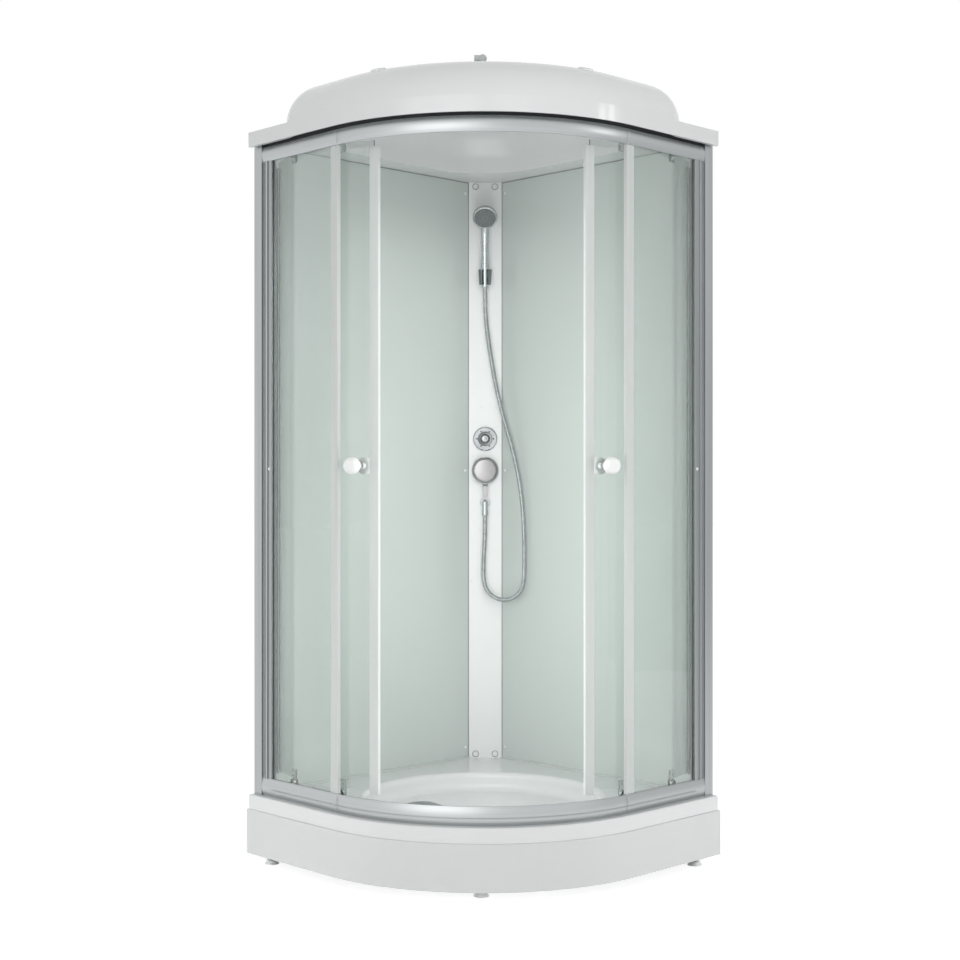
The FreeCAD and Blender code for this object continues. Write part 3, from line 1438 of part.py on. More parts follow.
def make_lower_nut():
    """Round nut that joins the hose to the outlet."""
    radius, tall = dim("hose_nut_radius"), dim("hose_nut_height")
    bore = dim("outlet_tube_radius") - dim("pipe_wall")
    edge = dim("hose_nut_chamfer")
    profile = [(bore, 0.0), (radius - edge, 0.0), (radius, 2.0 * edge), (radius, tall), (bore, tall)]
    return spun("lower_hose_nut", profile, at(0.0, outlet_y, hose_end_z))


def make_upper_nut():
    """Tapered nut of the hose that sits in the fork and carries the handset."""
    low, high = cone_foot, cone_foot + dim("cone_length")
    bore = dim("outlet_tube_radius") - dim("pipe_wall")
    profile = [(bore, low), (dim("cone_low_radius"), low), (dim("cone_high_radius"), high), (bore, high)]
    return spun("upper_hose_nut", profile, HANDSET)


def make_holder():
    """Fork on the column: a tapered socket open at the front, on a short arm."""
    half = dim("fork_tall") / 2.0
    taper = (dim("cone_high_radius") - dim("cone_low_radius")) / dim("cone_length")
    gap = dim("fork_clearance")
    wall = dim("fork_wall")

    def nut_radius(height):
        return dim("cone_low_radius") + taper * (height - cone_foot) + gap

    shell = spun("fork_shell", [
        (0.0, -half), (nut_radius(-half) + wall, -half), (nut_radius(half) + wall, half), (0.0, half),
    ], HANDSET)
    plate_at = forward(0.0, column_y, fork_height)
    arm = cylinder("fork_arm", plate_at, "dims.fork_arm_radius", "dims.fork_forward")
    far = half + wall
    bore_half = [(0.0, -far), (nut_radius(-far), -far), (nut_radius(far), far), (0.0, far)]
    bore = spun("fork_bore", bore_half, HANDSET)
    slot_at = HANDSET * at(-dim("fork_slot") / 2.0, -dim("fork_forward"), -far)
    slot_tall = "dims.fork_tall + 2 * dims.fork_wall"
    slot = box("fork_gap", slot_at, "dims.fork_slot", "dims.fork_forward", slot_tall)
    return cut("handset_holder", fuse("fork_solid", [shell, arm]), [bore, slot])


def make_handset():
    """Handle with a tilted head, and the grey spray face set into the head."""
    foot = cone_foot + dim("cone_length")
    handle = doc.addObject("Part::Cone", "handset_handle")
    bind(handle, Radius1="dims.handle_low_radius", Radius2="dims.handle_top_radius")
    bind(handle, Height="dims.handle_length")
    handle.Placement = HANDSET * at(0, 0, foot)
    knuckle = doc.addObject("Part::Sphere", "handset_knuckle")
    bind(knuckle, Radius="dims.handle_top_radius")
    knuckle.Placement = HANDSET * at(0, 0, foot + dim("handle_length"))
    turn = Rotation(Vector(1, 0, 0), 90.0 + dim("head_pitch"))
    head_at = HANDSET * Placement(Vector(0, -dim("head_forward"), dim("head_reach")), turn)
    radius, depth = dim("head_radius"), dim("head_depth")
    face, thick = dim("face_radius"), dim("face_height")
    pocket_radius = face + dim("fit_gap")
    rim_back = -dim("head_rim")
    back_middle, back = crown_step(radius, rim_back, rim_back + depth)
    mirrored = 2.0 * rim_back
    head = spun("handset_head", [
        (0.0, mirrored - back[1]), ((back_middle[0], mirrored - back_middle[1]), (radius, rim_back)),
        (radius, 0.0), (pocket_radius, 0.0), (pocket_radius, -thick), (0.0, -thick),
    ], head_at)
    spray_half = [(0.0, -thick), (face, -thick), (face, -dim("face_sink")), (0.0, dim("face_crown"))]
    spray = spun("handset_face", spray_half, head_at)
    return [fuse("handset_body", [handle, knuckle, head]), spray]


# Shares of the hose's bow, sideways and forwards, at even steps down from the handset
BOW_STEPS = [
    (0.076, 0.012), (0.186, 0.079), (0.314, 0.196), (0.492, 0.372), (0.695, 0.581),
    (0.856, 0.790), (0.949, 0.925), (0.992, 0.983), (1.0, 1.0), (0.992, 0.992),
]
# Shares of the way across the loop and of its drop
LOOP_STEPS = [(0.19, 0.72), (0.5, 1.0), (0.81, 0.72)]
# Share of the shorter neighbouring run that each bend of the hose takes up
BEND_SHARE = 0.45


def hose_route():
    """Points of the hose from the nut under the handset to the nut on the outlet.

    It hangs from the tapered nut, bows to the right and comes up into the outlet from a loop.
    """
    start = HANDSET.multVec(Vector(0, 0, cone_foot))
    drop = HANDSET.multVec(Vector(0, 0, cone_foot - dim("hose_first_run")))
    end = Vector(0.0, outlet_y, hose_end_z)
    rise = end - UP * dim("hose_last_run")
    low = end - UP * dim("hose_loop_below")
    far = Vector(dim("hose_bow"), outlet_y - dim("hose_bow_forward"), low.z)
    bow = []
    for index, (sideways, forwards) in enumerate(BOW_STEPS, 1):
        x = drop.x + (far.x - drop.x) * sideways
        y = drop.y + (far.y - drop.y) * forwards
        bow.append(Vector(x, y, drop.z + (low.z - drop.z) * index / len(BOW_STEPS)))
    sway = Vector(-dim("hose_sway"), outlet_y, low.z)
    loop = []
    for along, down in LOOP_STEPS:
        point = bow[-1] + (sway - bow[-1]) * along
        loop.append(point - UP * dim("hose_loop_drop") * down)
    upright = (sway + Vector(-dim("hose_sway"), outlet_y, rise.z)) / 2.0
    return [start, drop] + bow + loop + [sway, upright, rise, end]


def make_hose():
    """Metal shower hose: straight runs joined by tangent arcs, one round section all along."""
    route = hose_route()
    edges = []
    radii = []
    last = route[0]
    for before, corner, after in zip(route, route[1:], route[2:]):
        inward = (before - corner).normalize()
        outward = (after - corner).normalize()
        turn = math.pi - inward.getAngle(outward)
        shorter = min(before.distanceToPoint(corner), after.distanceToPoint(corner))
        tangent = BEND_SHARE * shorter
        radius = tangent / math.tan(turn / 2.0)
        bisector = (inward + outward).normalize()
        sag = radius / math.cos(turn / 2.0) - radius
        start, end = corner + inward * tangent, corner + outward * tangent
        edges.append(Part.LineSegment(last, start).toShape())
        edges.append(Part.Arc(start, corner + bisector * sag, end).toShape())
        radii.append(round(radius))
        last = end
    edges.append(Part.LineSegment(last, route[-1]).toShape())
    spine = Part.Wire(edges)
    section = Part.Wire([Part.Circle(route[0], route[1] - route[0], dim("hose_radius")).toShape()])
    item = doc.addObject("Part::Feature", "shower_hose")
    item.Shape = spine.makePipeShell([section], True, False)
    item.Placement = Placement()
    expected = math.pi * dim("hose_radius") ** 2 * spine.Length
    print("hose bend radii", radii)
    print("hose length", round(spine.Length, 1), "volume ratio", round(item.Shape.Volume / expected, 4))
    return item


# Assembly
keep(make_tray_shell())
keep(make_front_apron())
keep(make_tray_frame())
for foot_item in make_feet() + make_drain():
    keep(foot_item)
keep(make_corner_column())
for cap_item in make_caps():
    keep(cap_item)
keep(make_bottom_rail())
keep(make_top_rail())
for side_name, side_sign in (("left", -1), ("right", 1)):
    keep(make_back_panel(side_name, side_sign))
    keep(make_wall_post(side_name, side_sign))
    keep(make_glass_channel(side_name, side_sign))
    keep(make_fixed_pane(side_name, side_sign))
    keep(make_fixed_seal(side_name, side_sign))
    keep(make_door_glass(side_name, side_sign))
    keep(make_edge_seal(f"{side_name}_leading_seal", side_sign, door_start, -1, dim("nose_length")))
    keep(make_edge_seal(f"{side_name}_trailing_seal", side_sign, door_end, 1, dim("tail_length")))
    keep(make_knobs(side_name, side_sign))
    keep(make_hangers(side_name, side_sign))
    for roller_item in make_rollers(side_name, side_sign):
        keep(roller_item)
keep(make_roof_shell())
keep(make_roof_strip())
keep(make_roof_elbow())
keep(make_overhead_rose())
keep(make_valve_body())
for tap_item in make_mixer() + make_diverter():
    keep(tap_item)
keep(make_hose_outlet())
keep(make_lower_nut())
keep(make_upper_nut())
keep(make_holder())
for handset_item in make_handset():
    keep(handset_item)
keep(make_hose())
doc.recompute()

# Checks, then one file for each node
faults = [item.Name for item in doc.Objects if "Invalid" in item.State or "Error" in item.State]
for node in nodes:
    if node.Shape.isNull() or not node.Shape.isValid() or not node.Shape.Solids:
        faults.append(node.Label)
if faults:
    raise RuntimeError(f"faulty pieces: {faults}")
os.makedirs("parts", exist_ok=True)
for node in nodes:
    node.Shape.exportStep(f"parts/{node.Label}.step")
whole = FreeCAD.BoundBox()
for node in nodes:
    whole.add(node.Shape.BoundBox)
print(len(nodes), "nodes, box", whole)
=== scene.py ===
"""Quadrant shower cabin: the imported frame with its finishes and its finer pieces."""

import json
import logging
import math
from collections.abc import Sequence
from dataclasses import dataclass, field
from enum import Enum

import bmesh
import bpy
from mathutils import Matrix, Vector


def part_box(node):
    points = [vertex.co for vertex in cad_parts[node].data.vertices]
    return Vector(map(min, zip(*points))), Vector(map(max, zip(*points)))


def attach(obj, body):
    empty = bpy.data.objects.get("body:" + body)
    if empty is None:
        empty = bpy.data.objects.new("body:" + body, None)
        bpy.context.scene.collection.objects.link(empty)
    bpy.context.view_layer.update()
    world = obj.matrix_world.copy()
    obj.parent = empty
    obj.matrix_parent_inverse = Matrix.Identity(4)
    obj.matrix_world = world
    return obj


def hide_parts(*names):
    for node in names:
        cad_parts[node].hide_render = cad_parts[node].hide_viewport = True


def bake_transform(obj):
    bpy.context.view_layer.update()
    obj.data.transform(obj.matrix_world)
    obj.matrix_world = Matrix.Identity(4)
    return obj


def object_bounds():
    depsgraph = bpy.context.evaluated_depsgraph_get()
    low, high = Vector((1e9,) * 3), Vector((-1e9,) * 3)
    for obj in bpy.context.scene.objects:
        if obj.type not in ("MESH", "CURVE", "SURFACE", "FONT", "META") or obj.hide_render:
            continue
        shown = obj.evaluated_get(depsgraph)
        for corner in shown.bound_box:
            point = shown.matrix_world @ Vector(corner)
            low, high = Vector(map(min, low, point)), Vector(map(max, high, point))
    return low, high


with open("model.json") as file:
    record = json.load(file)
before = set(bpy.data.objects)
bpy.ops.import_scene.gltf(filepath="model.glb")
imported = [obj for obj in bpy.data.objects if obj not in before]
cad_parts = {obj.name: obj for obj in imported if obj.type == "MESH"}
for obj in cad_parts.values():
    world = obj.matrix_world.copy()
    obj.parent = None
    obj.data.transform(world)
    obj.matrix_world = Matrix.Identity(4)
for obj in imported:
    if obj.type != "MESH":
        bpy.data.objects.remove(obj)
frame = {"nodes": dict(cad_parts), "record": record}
CAD_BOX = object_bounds()

LOG = logging.getLogger("shower_cabin")
MM = 0.001
FULL_TURN = 2.0 * math.pi
QUARTER_TURN = math.pi / 2.0
EIGHTH_TURN = math.pi / 4.0
SHARP_ANGLE = math.radians(38.0)
MERGE_DISTANCE = 0.02 * MM
BEVEL_STEPS = 3
LATHE_STEPS = 56
SIDES = {"left": -1, "right": 1}
Pair = tuple[float, float]
Triple = tuple[float, float, float]
Profile = Sequence[Pair]


class Body(Enum):
    """Bodies of the frame that the finer pieces ride on."""

    CABIN = "cabin"
    HANDSET = "handset"
    MIXER_HANDLE = "mixer_handle"
    DIVERTER = "diverter_knob"


class Slot(Enum):
    """Material slots of the record."""

    ACRYLIC = "white_acrylic"
    PLASTIC = "white_plastic"
    SEAL = "white_seal"
    ALUMINIUM = "satin_aluminium"
    GLASS = "clear_glass"
    CLEAR = "clear_plastic"
    PANEL = "painted_glass"
    CHROME = "chrome"
    GREY = "grey_plastic"
    BLACK = "black_strip"
    ZINC = "zinc_steel"
    STEEL = "grey_painted_steel"
    BRASS = "raw_brass"


# Colours and materials


def linear(code: str) -> tuple[float, float, float, float]:
    """Turn an sRGB hex value to a linear colour.

    Args:
        code: Hex value with its leading hash.

    Returns:
        Red, green, blue and full opacity.
    """
    shares = [int(code[start:start + 2], 16) / 255.0 for start in (1, 3, 5)]
    light = [share / 12.92 if share <= 0.04045 else ((share + 0.055) / 1.055) ** 2.4 for share in shares]
    return (light[0], light[1], light[2], 1.0)


def add_node(
    tree: bpy.types.NodeTree,
    kind: str,
    settings: dict[str | int, object] | None = None,
    links: dict[str | int, bpy.types.NodeSocket] | None = None,
) -> bpy.types.Node:
    """Add a node with its settings and links.

    Args:
        tree: Tree that takes the node.
        kind: Blender's name of the node type.
        settings: Value by property or input; an input is named or numbered.
        links: Output socket by the input that it feeds.

    Returns:
        The new node.
    """
    node = tree.nodes.new(kind)
    for name, value in (settings or {}).items():
        if isinstance(name, str) and hasattr(node, name):
            setattr(node, name, value)
        else:
            node.inputs[name].default_value = value
    for name, source in (links or {}).items():
        tree.links.new(source, node.inputs[name])
    return node


# Shares of the noise where the patches' two colours are reached.
PATCH_EDGES = (0.3, 0.7)


@dataclass(frozen=True)
class Finish:
    """A surface, from its common name to its gloss and relief.

    Attributes:
        name: Common name of the material and how its surface was made.
        colour: Main colour, an sRGB hex value.
        tone: Colour that it drifts to in patches.
        drift: Size of the patches along x, y and z in millimetres.
        gloss: Least and most roughness over the patches.
        grain: Size of the relief along x, y and z in millimetres.
        relief: Height of the relief in millimetres.
        metallic: 1 for a bare metal.
        fixed: Other shader sockets, each with one value all over.
    """

    name: str
    colour: str
    tone: str
    drift: Triple
    gloss: Pair
    grain: Triple
    relief: float
    metallic: float = 0.0
    fixed: tuple[tuple[str, float], ...] = ()

    def make(self) -> bpy.types.Material:
        """Build the material from its patches, its gloss and its relief."""
        material = bpy.data.materials.new(self.name)
        material.use_nodes = True
        tree = material.node_tree
        shader = tree.nodes["Principled BSDF"]
        shader.inputs["Metallic"].default_value = self.metallic
        for socket, value in self.fixed:
            shader.inputs[socket].default_value = value
        patches = self.pattern(tree, self.drift)
        ramp = add_node(tree, "ShaderNodeValToRGB", links={"Fac": patches})
        for stop, share, code in zip(ramp.color_ramp.elements, PATCH_EDGES, (self.tone, self.colour)):
            stop.position = share
            stop.color = linear(code)
        limits = {"To Min": self.gloss[0], "To Max": self.gloss[1]}
        shine = add_node(tree, "ShaderNodeMapRange", limits, {"Value": patches})
        height = {"Strength": 1.0, "Distance": self.relief * MM}
        bump = add_node(tree, "ShaderNodeBump", height, {"Height": self.pattern(tree, self.grain)})
        for socket, node in (("Base Color", ramp), ("Roughness", shine), ("Normal", bump)):
            tree.links.new(node.outputs[0], shader.inputs[socket])
        return material

    def pattern(self, tree: bpy.types.NodeTree, size: Triple) -> bpy.types.NodeSocket:
        """Add a noise pattern of a real size.

        Args:
            tree: Tree that takes the nodes.
            size: Size of a patch along x, y and z in millimetres.

        Returns:
            Output socket with the pattern's value.
        """
        place = add_node(tree, "ShaderNodeTexCoord").outputs["Object"]
        per_metre = tuple(1.0 / (width * MM) for width in size)
        sized = add_node(tree, "ShaderNodeMapping", {"Scale": per_metre}, {"Vector": place})
        noise = add_node(
            tree,
            "ShaderNodeTexNoise",
            {"Scale": 1.0, "Detail": 2.0, "Roughness": 0.5},
            {"Vector": sized.outputs["Vector"]},
        )
        return noise.outputs["Fac"]


def even(size: float) -> Triple:
    """Give one size along all three axes."""
    return (size, size, size)


# Vacuum forming leaves a glossy white skin with long, shallow waves.
ACRYLIC = Finish(
    "acrylic sheet, vacuum formed", "#e0e2e2", "#dfe1e1", even(50.0), (0.18, 0.22), even(90.0), 0.06,
    fixed=(("IOR", 1.49), ("Coat Weight", 0.25), ("Coat Roughness", 0.04)),
)
# A polished mould gives a clean white with a hint of orange peel.
PLASTIC = Finish(
    "ABS, moulded white", "#edefee", "#eceeed", even(30.0), (0.26, 0.31), even(7.0), 0.008,
    fixed=(("IOR", 1.53),),
)
# The die leaves faint lines along the seal, and its skin is softer than the plastic's.
SEAL = Finish(
    "PVC, extruded seal", "#e3e7e5", "#dbe0de", (30.0, 30.0, 400.0), (0.3, 0.42), (3.0, 3.0, 250.0), 0.03,
    fixed=(("IOR", 1.53), ("Transmission Weight", 0.25)),
)
# Etching before the anodic bath turns the brushed lines into a soft silver sheen, here along z.
POST_ALUMINIUM = Finish(
    "aluminium, anodised satin, brushed upright", "#b9bcbd", "#adb1b2",
    (18.0, 18.0, 900.0), (0.3, 0.42), (2.5, 2.5, 700.0), 0.02, metallic=1.0,
)
# The posts' satin metal with its lines along the bent rails, so the pattern only changes with the height;
# painted lighter, a painted sheen.
SHEEN_PAINTED_RAIL_ALUMINIUM = Finish(
    "aluminium, anodised satin, brushed level, painted sheen", "#c2c5c6", "#b4b8b9",
    (9000.0, 9000.0, 12.0), (0.33, 0.42), (9000.0, 9000.0, 3.0), 0.02, metallic=1.0,
)
# Toughened float glass is clear, a trace green, with the slow waves of the rollers in the furnace.
GLASS = Finish(
    "float glass, toughened clear", "#f2f5f4", "#eff3f1", even(500.0), (0.0, 0.015),
    (400.0, 400.0, 160.0), 0.006, fixed=(("IOR", 1.5), ("Transmission Weight", 1.0)),
)
# Paint behind float glass: an even pale green under a mirror-smooth face.
PANEL = Finish(
    "float glass, painted on the back", "#cdd4d1", "#c8d0cc", even(700.0), (0.28, 0.36),
    even(180.0), 0.03, fixed=(("IOR", 1.5), ("Coat Weight", 1.0), ("Coat Roughness", 0.02)),
)
# A mirror with a cool grey cast; fingers leave slightly duller patches.
CHROME = Finish(
    "chrome plate, polished", "#d0d3d4", "#c3c7c9", even(40.0), (0.05, 0.12), even(12.0), 0.004,
    metallic=1.0,
)
# Grey mouldings are matt, with a spark-eroded grain.
GREY = Finish(
    "ABS, moulded grey", "#8e9395", "#85898c", even(60.0), (0.38, 0.5), even(2.0), 0.02,
    fixed=(("IOR", 1.53),),
)
# Black, dull at its edge: the strip under the roof is painted shade for the shadowed gap below the
# overhang; the same black marks the diverter.
BLACK = Finish(
    "black, painted shade under the roof, and marks", "#26282a", "#1f2123", (60.0, 60.0, 200.0), (0.55, 0.7), even(3.0), 0.03,
    fixed=(("IOR", 1.52),),
)
# Passivated zinc has a patchy blue-grey sheen.
ZINC = Finish(
    "steel, zinc plated", "#a3a8ab", "#92989c", even(9.0), (0.3, 0.48), even(3.0), 0.02, metallic=1.0,
)
# Powder coat flows into a fine, even orange peel.
STEEL = Finish(
    "steel, powder coated grey", "#8b9092", "#84898b", even(90.0), (0.4, 0.5), even(2.2), 0.05,
)
# Cast brass is dull gold where it stays unplated.
BRASS = Finish(
    "brass, cast raw", "#b29a63", "#a08a58", even(25.0), (0.36, 0.55), even(2.5), 0.06, metallic=1.0,
)
# The mixer's cap is blasted before plating, so its mirror is veiled.
SATIN_CHROME = Finish(
    "chrome plate, satin", "#b9b8b8", "#b0afb0", even(60.0), (0.2, 0.28), even(5.0), 0.006, metallic=1.0,
)
# Spray faces are soft rubber, darker than the grey plastic.
SPRAY_RUBBER = Finish(
    "silicone, moulded grey", "#7a7e80", "#727678", even(20.0), (0.45, 0.55), even(2.5), 0.02,
)
# A wound steel strip: bright ridges, dull grooves.
HOSE_STEEL = Finish(
    "stainless steel, wound strip", "#c6c9ca", "#b3b7b9", even(12.0), (0.16, 0.3), even(3.0), 0.01,
    metallic=1.0,
)
# Grey rubber fills the joints between the profiles, dull beside the metal; the same grey rings the column's
# caps as painted shade.
GREY_GASKET_AND_SHADE = Finish(
    "EPDM, extruded grey, and painted shade", "#7d8183", "#76797b", (40.0, 40.0, 300.0), (0.5, 0.62), even(3.0), 0.02,
)
# The glass channel is the posts' metal, a little rougher, and painted darker as painted shade beside the
# glass.
SHADED_CHANNEL_ALUMINIUM = Finish(
    "aluminium, anodised matt, brushed upright, painted shade", "#aeb2b3", "#a4a8a9",
    (18.0, 18.0, 900.0), (0.34, 0.46), (2.5, 2.5, 700.0), 0.02, metallic=1.0,
)
# Pale grey mouldings, matt from a blasted mould.
PALE_GREY = Finish(
    "ABS, moulded pale grey", "#c2c5c5", "#babdbe", even(60.0), (0.36, 0.48), even(2.0), 0.02,
    fixed=(("IOR", 1.53),),
)
# Clear seals glow at their lips and let the glass behind them through.
CLEAR_SEAL = Finish(
    "PVC, extruded clear", "#eef2f0", "#e8edea",
    (30.0, 30.0, 400.0), (0.08, 0.16), (3.0, 3.0, 250.0), 0.02,
    fixed=(("IOR", 1.53), ("Transmission Weight", 0.9)),
)
# Chrome of the diverter's bowl and of the fork, painted a shade darker: painted shade for the dark
# reflections in these hollows.
SHADE_PAINTED_CHROME = Finish(
    "chrome plate, painted shade", "#8f9394", "#84888a", even(30.0), (0.14, 0.22), even(6.0), 0.006, metallic=1.0,
)
# Clear mouldings nearly vanish on the glass; only their edges catch the light.
CLEAR_PLASTIC = Finish(
    "polycarbonate, moulded clear", "#eef2f1", "#e9eeed", even(80.0), (0.04, 0.1), even(9.0), 0.01,
    fixed=(("IOR", 1.58), ("Transmission Weight", 0.92)),
)
# The skirt is the tray's acrylic with less gloss, painted a shade greyer than the rim above it: painted
# shade for the upright skirt.
SHADED_SKIRT = Finish(
    "acrylic sheet, vacuum formed skirt, painted shade", "#d6d8d8", "#d5d7d7", even(50.0), (0.24, 0.28), even(90.0), 0.06,
    fixed=(("IOR", 1.49), ("Coat Weight", 0.2), ("Coat Roughness", 0.06)),
)


@dataclass
class Wardrobe:
    """The finishes by slot and by node, each made once; a node's name is without its side."""

    by_slot: dict[Slot, Finish] = field(default_factory=lambda: {
        Slot.ACRYLIC: ACRYLIC,
        Slot.PLASTIC: PLASTIC,
        Slot.SEAL: SEAL,
        Slot.ALUMINIUM: POST_ALUMINIUM,
        Slot.GLASS: GLASS,
        Slot.CLEAR: CLEAR_PLASTIC,
        Slot.PANEL: PANEL,
        Slot.CHROME: CHROME,
        Slot.GREY: GREY,
        # The black strip is painted shade for the shadowed gap under the roof's overhang.
        Slot.BLACK: BLACK,
        Slot.ZINC: ZINC,
        Slot.STEEL: STEEL,
        Slot.BRASS: BRASS,
    })
    by_node: dict[str, Finish] = field(default_factory=lambda: {
        "top_rail": SHEEN_PAINTED_RAIL_ALUMINIUM,
        "bottom_rail": SHEEN_PAINTED_RAIL_ALUMINIUM,
        "handset_face": SPRAY_RUBBER,
        "front_apron": SHADED_SKIRT,
        "glass_channel": SHADED_CHANNEL_ALUMINIUM,
        "foot_pads": PLASTIC,
        "roof_elbow": PALE_GREY,
        "trailing_seal": CLEAR_SEAL,
        # The fork's chrome is painted darker, painted shade for its dark reflections.
        "handset_holder": SHADE_PAINTED_CHROME,
        "door_hangers": CLEAR_PLASTIC,
        "bottom_lead_roller": CHROME,
        "bottom_trail_roller": CHROME,
        "top_lead_roller": CHROME,
        "top_trail_roller": CHROME,
    })
    made: dict[str, bpy.types.Material] = field(default_factory=dict)

    def material(self, finish: Finish) -> bpy.types.Material:
        """Give the material of a finish, made at its first use."""
        if finish.name not in self.made:
            self.made[finish.name] = finish.make()
        return self.made[finish.name]

    def dress_frame(self) -> int:
        """Give every node of the frame its finish.

        Returns:
            How many nodes were dressed.
        """
        slots = {part["node"]: part["material_slot"] for part in frame["record"]["subparts"]}
        for name, node in frame["nodes"].items():
            plain = name.removeprefix("left_").removeprefix("right_")
            finish = self.by_node.get(plain) or self.by_slot[Slot(slots[name])]
            for place in node.material_slots:
                place.material = self.material(finish)
        return len(frame["nodes"])


WARDROBE = Wardrobe()


# Meshes and pieces


def add_object(name: str, data: bpy.types.ID) -> bpy.types.Object:
    """Add an object with its data to the scene."""
    item = bpy.data.objects.new(name, data)
    bpy.context.scene.collection.objects.link(item)
    return item


def plain_mesh(item: bpy.types.Object) -> bpy.types.Mesh:
    """Give the mesh that an object evaluates to, and take the object away."""
    graph = bpy.context.evaluated_depsgraph_get()
    mesh = bpy.data.meshes.new_from_object(item.evaluated_get(graph), depsgraph=graph)
    bpy.data.objects.remove(item)
    return mesh


def finish_mesh(name: str, work: bmesh.types.BMesh) -> bpy.types.Mesh:
    """Turn a worked shape into a smooth mesh with its faces outwards.

    Args:
        name: Name of the mesh.
        work: Shape, freed here.

    Returns:
        The mesh.
    """
    bmesh.ops.remove_doubles(work, verts=work.verts, dist=MERGE_DISTANCE)
    bmesh.ops.recalc_face_normals(work, faces=work.faces)
    mesh = bpy.data.meshes.new(name)
    work.to_mesh(mesh)
    work.free()
    mesh.shade_smooth()
    mesh.set_sharp_from_angle(angle=SHARP_ANGLE)
    return mesh


def join_rings(work: bmesh.types.BMesh, rings: list[list[bmesh.types.BMVert]]) -> None:
    """Close the space between neighbouring rings of points with faces."""
    for low, high in zip(rings, rings[1:]):
        for step, point in enumerate(low):
            after = (step + 1) % len(low)
            work.faces.new((point, low[after], high[after], high[step]))


def add_lathe(work: bmesh.types.BMesh, profile: Profile, place: Matrix, steps: int = LATHE_STEPS) -> None:
    """Turn a profile about the z axis of a place.

    Args:
        work: Shape that takes the faces.
        profile: Radius and height of each point in millimetres, in order; its ends are not joined.
        place: Where the axis stands.
        steps: Sides of the turned shape.
    """
    rings = []
    for radius, height in profile:
        ring = []
        for step in range(steps):
            angle = FULL_TURN * step / steps
            point = Vector((radius * math.cos(angle), radius * math.sin(angle), height)) * MM
            ring.append(work.verts.new(place @ point))
        rings.append(ring)
    join_rings(work, rings)


def add_sweep(
    work: bmesh.types.BMesh,
    stations: list[tuple[Vector, float, float]],
    place: Matrix,
    steps: int = 24,
) -> None:
    """Sweep an oval along stations that lie in the y-z plane of a place.

    Args:
        work: Shape that takes the faces.
        stations: Middle, half width along x and half depth across, in millimetres.
        place: Where the plane stands.
        steps: Sides of the oval.
    """
    rings = []
    last = len(stations) - 1
    for index, (middle, wide, deep) in enumerate(stations):
        along = stations[min(index + 1, last)][0] - stations[max(index - 1, 0)][0]
        across = along.normalized().cross(Vector((1.0, 0.0, 0.0)))
        ring = []
        for step in range(steps):
            angle = FULL_TURN * step / steps
            point = middle + Vector((wide * math.cos(angle), 0.0, 0.0)) + across * deep * math.sin(angle)
            ring.append(work.verts.new(place @ (point * MM)))
        rings.append(ring)
    join_rings(work, rings)
    work.faces.new(rings[0])
    work.faces.new(rings[-1])


def add_bar(work: bmesh.types.BMesh, low: Triple, high: Triple, edge: float, place: Matrix) -> None:
    """Add a bar with rounded edges.

    Args:
        work: Shape that takes the faces.
        low: Lowest corner in millimetres.
        high: Highest corner in millimetres.
        edge: Radius of the edges in millimetres.
        place: Where the bar stands.
    """
    made = bmesh.ops.create_cube(work, size=1.0)
    middle = (Vector(low) + Vector(high)) / 2.0
    size = Vector(high) - Vector(low)
    for vert in made["verts"]:
        point = Vector((vert.co.x * size.x, vert.co.y * size.y, vert.co.z * size.z)) + middle
        vert.co = place @ (point * MM)
    edges = list({line for vert in made["verts"] for line in vert.link_edges})
    bmesh.ops.bevel(work, geom=edges, offset=edge * MM, segments=BEVEL_STEPS, affect="EDGES")


def scaled(curve: Profile, wide: float, tall: float) -> list[Pair]:
    """Stretch a curve of shares to a real width and height."""
    return [(share * wide, rise * tall) for share, rise in curve]


def lathe_mesh(
    name: str,
    profile: Profile,
    places: Sequence[Matrix],
    steps: int = LATHE_STEPS,
) -> bpy.types.Mesh:
    """Turn one profile at each of some places.

    Args:
        name: Name of the mesh.
        profile: Radius and height of each point in millimetres.
        places: Where the axes stand.
        steps: Sides of each turned shape.

    Returns:
        Mesh of all of them.
    """
    work = bmesh.new()
    for place in places:
        add_lathe(work, profile, place, steps)
    return finish_mesh(name, work)


def dressed(name: str, mesh: bpy.types.Mesh, finish: Finish) -> bpy.types.Object:
    """Put a mesh into the scene in one finish."""
    mesh.materials.clear()
    mesh.materials.append(WARDROBE.material(finish))
    return add_object(name, mesh)


def settle(
    name: str,
    mesh: bpy.types.Mesh,
    finish: Finish,
    body: Body,
    replaced: tuple[str, ...] = (),
) -> bpy.types.Object:
    """Put a mesh into the scene as a piece of the cabin.

    Args:
        name: Name of the piece.
        mesh: Its mesh, placed in metres.
        finish: Its finish.
        body: Body that it rides on.
        replaced: Nodes of the frame that it stands for.

    Returns:
        The piece.
    """
    piece = dressed(name, mesh, finish)
    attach(piece, body.value)
    if replaced:
        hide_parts(*replaced)
    return piece


# Geometry Nodes


class Socket(Enum):
    """Kinds of named input that the trees have."""

    LENGTH = "NodeSocketFloat"
    COUNT = "NodeSocketInt"
    PLACE = "NodeSocketVector"
    FINISH = "NodeSocketMaterial"


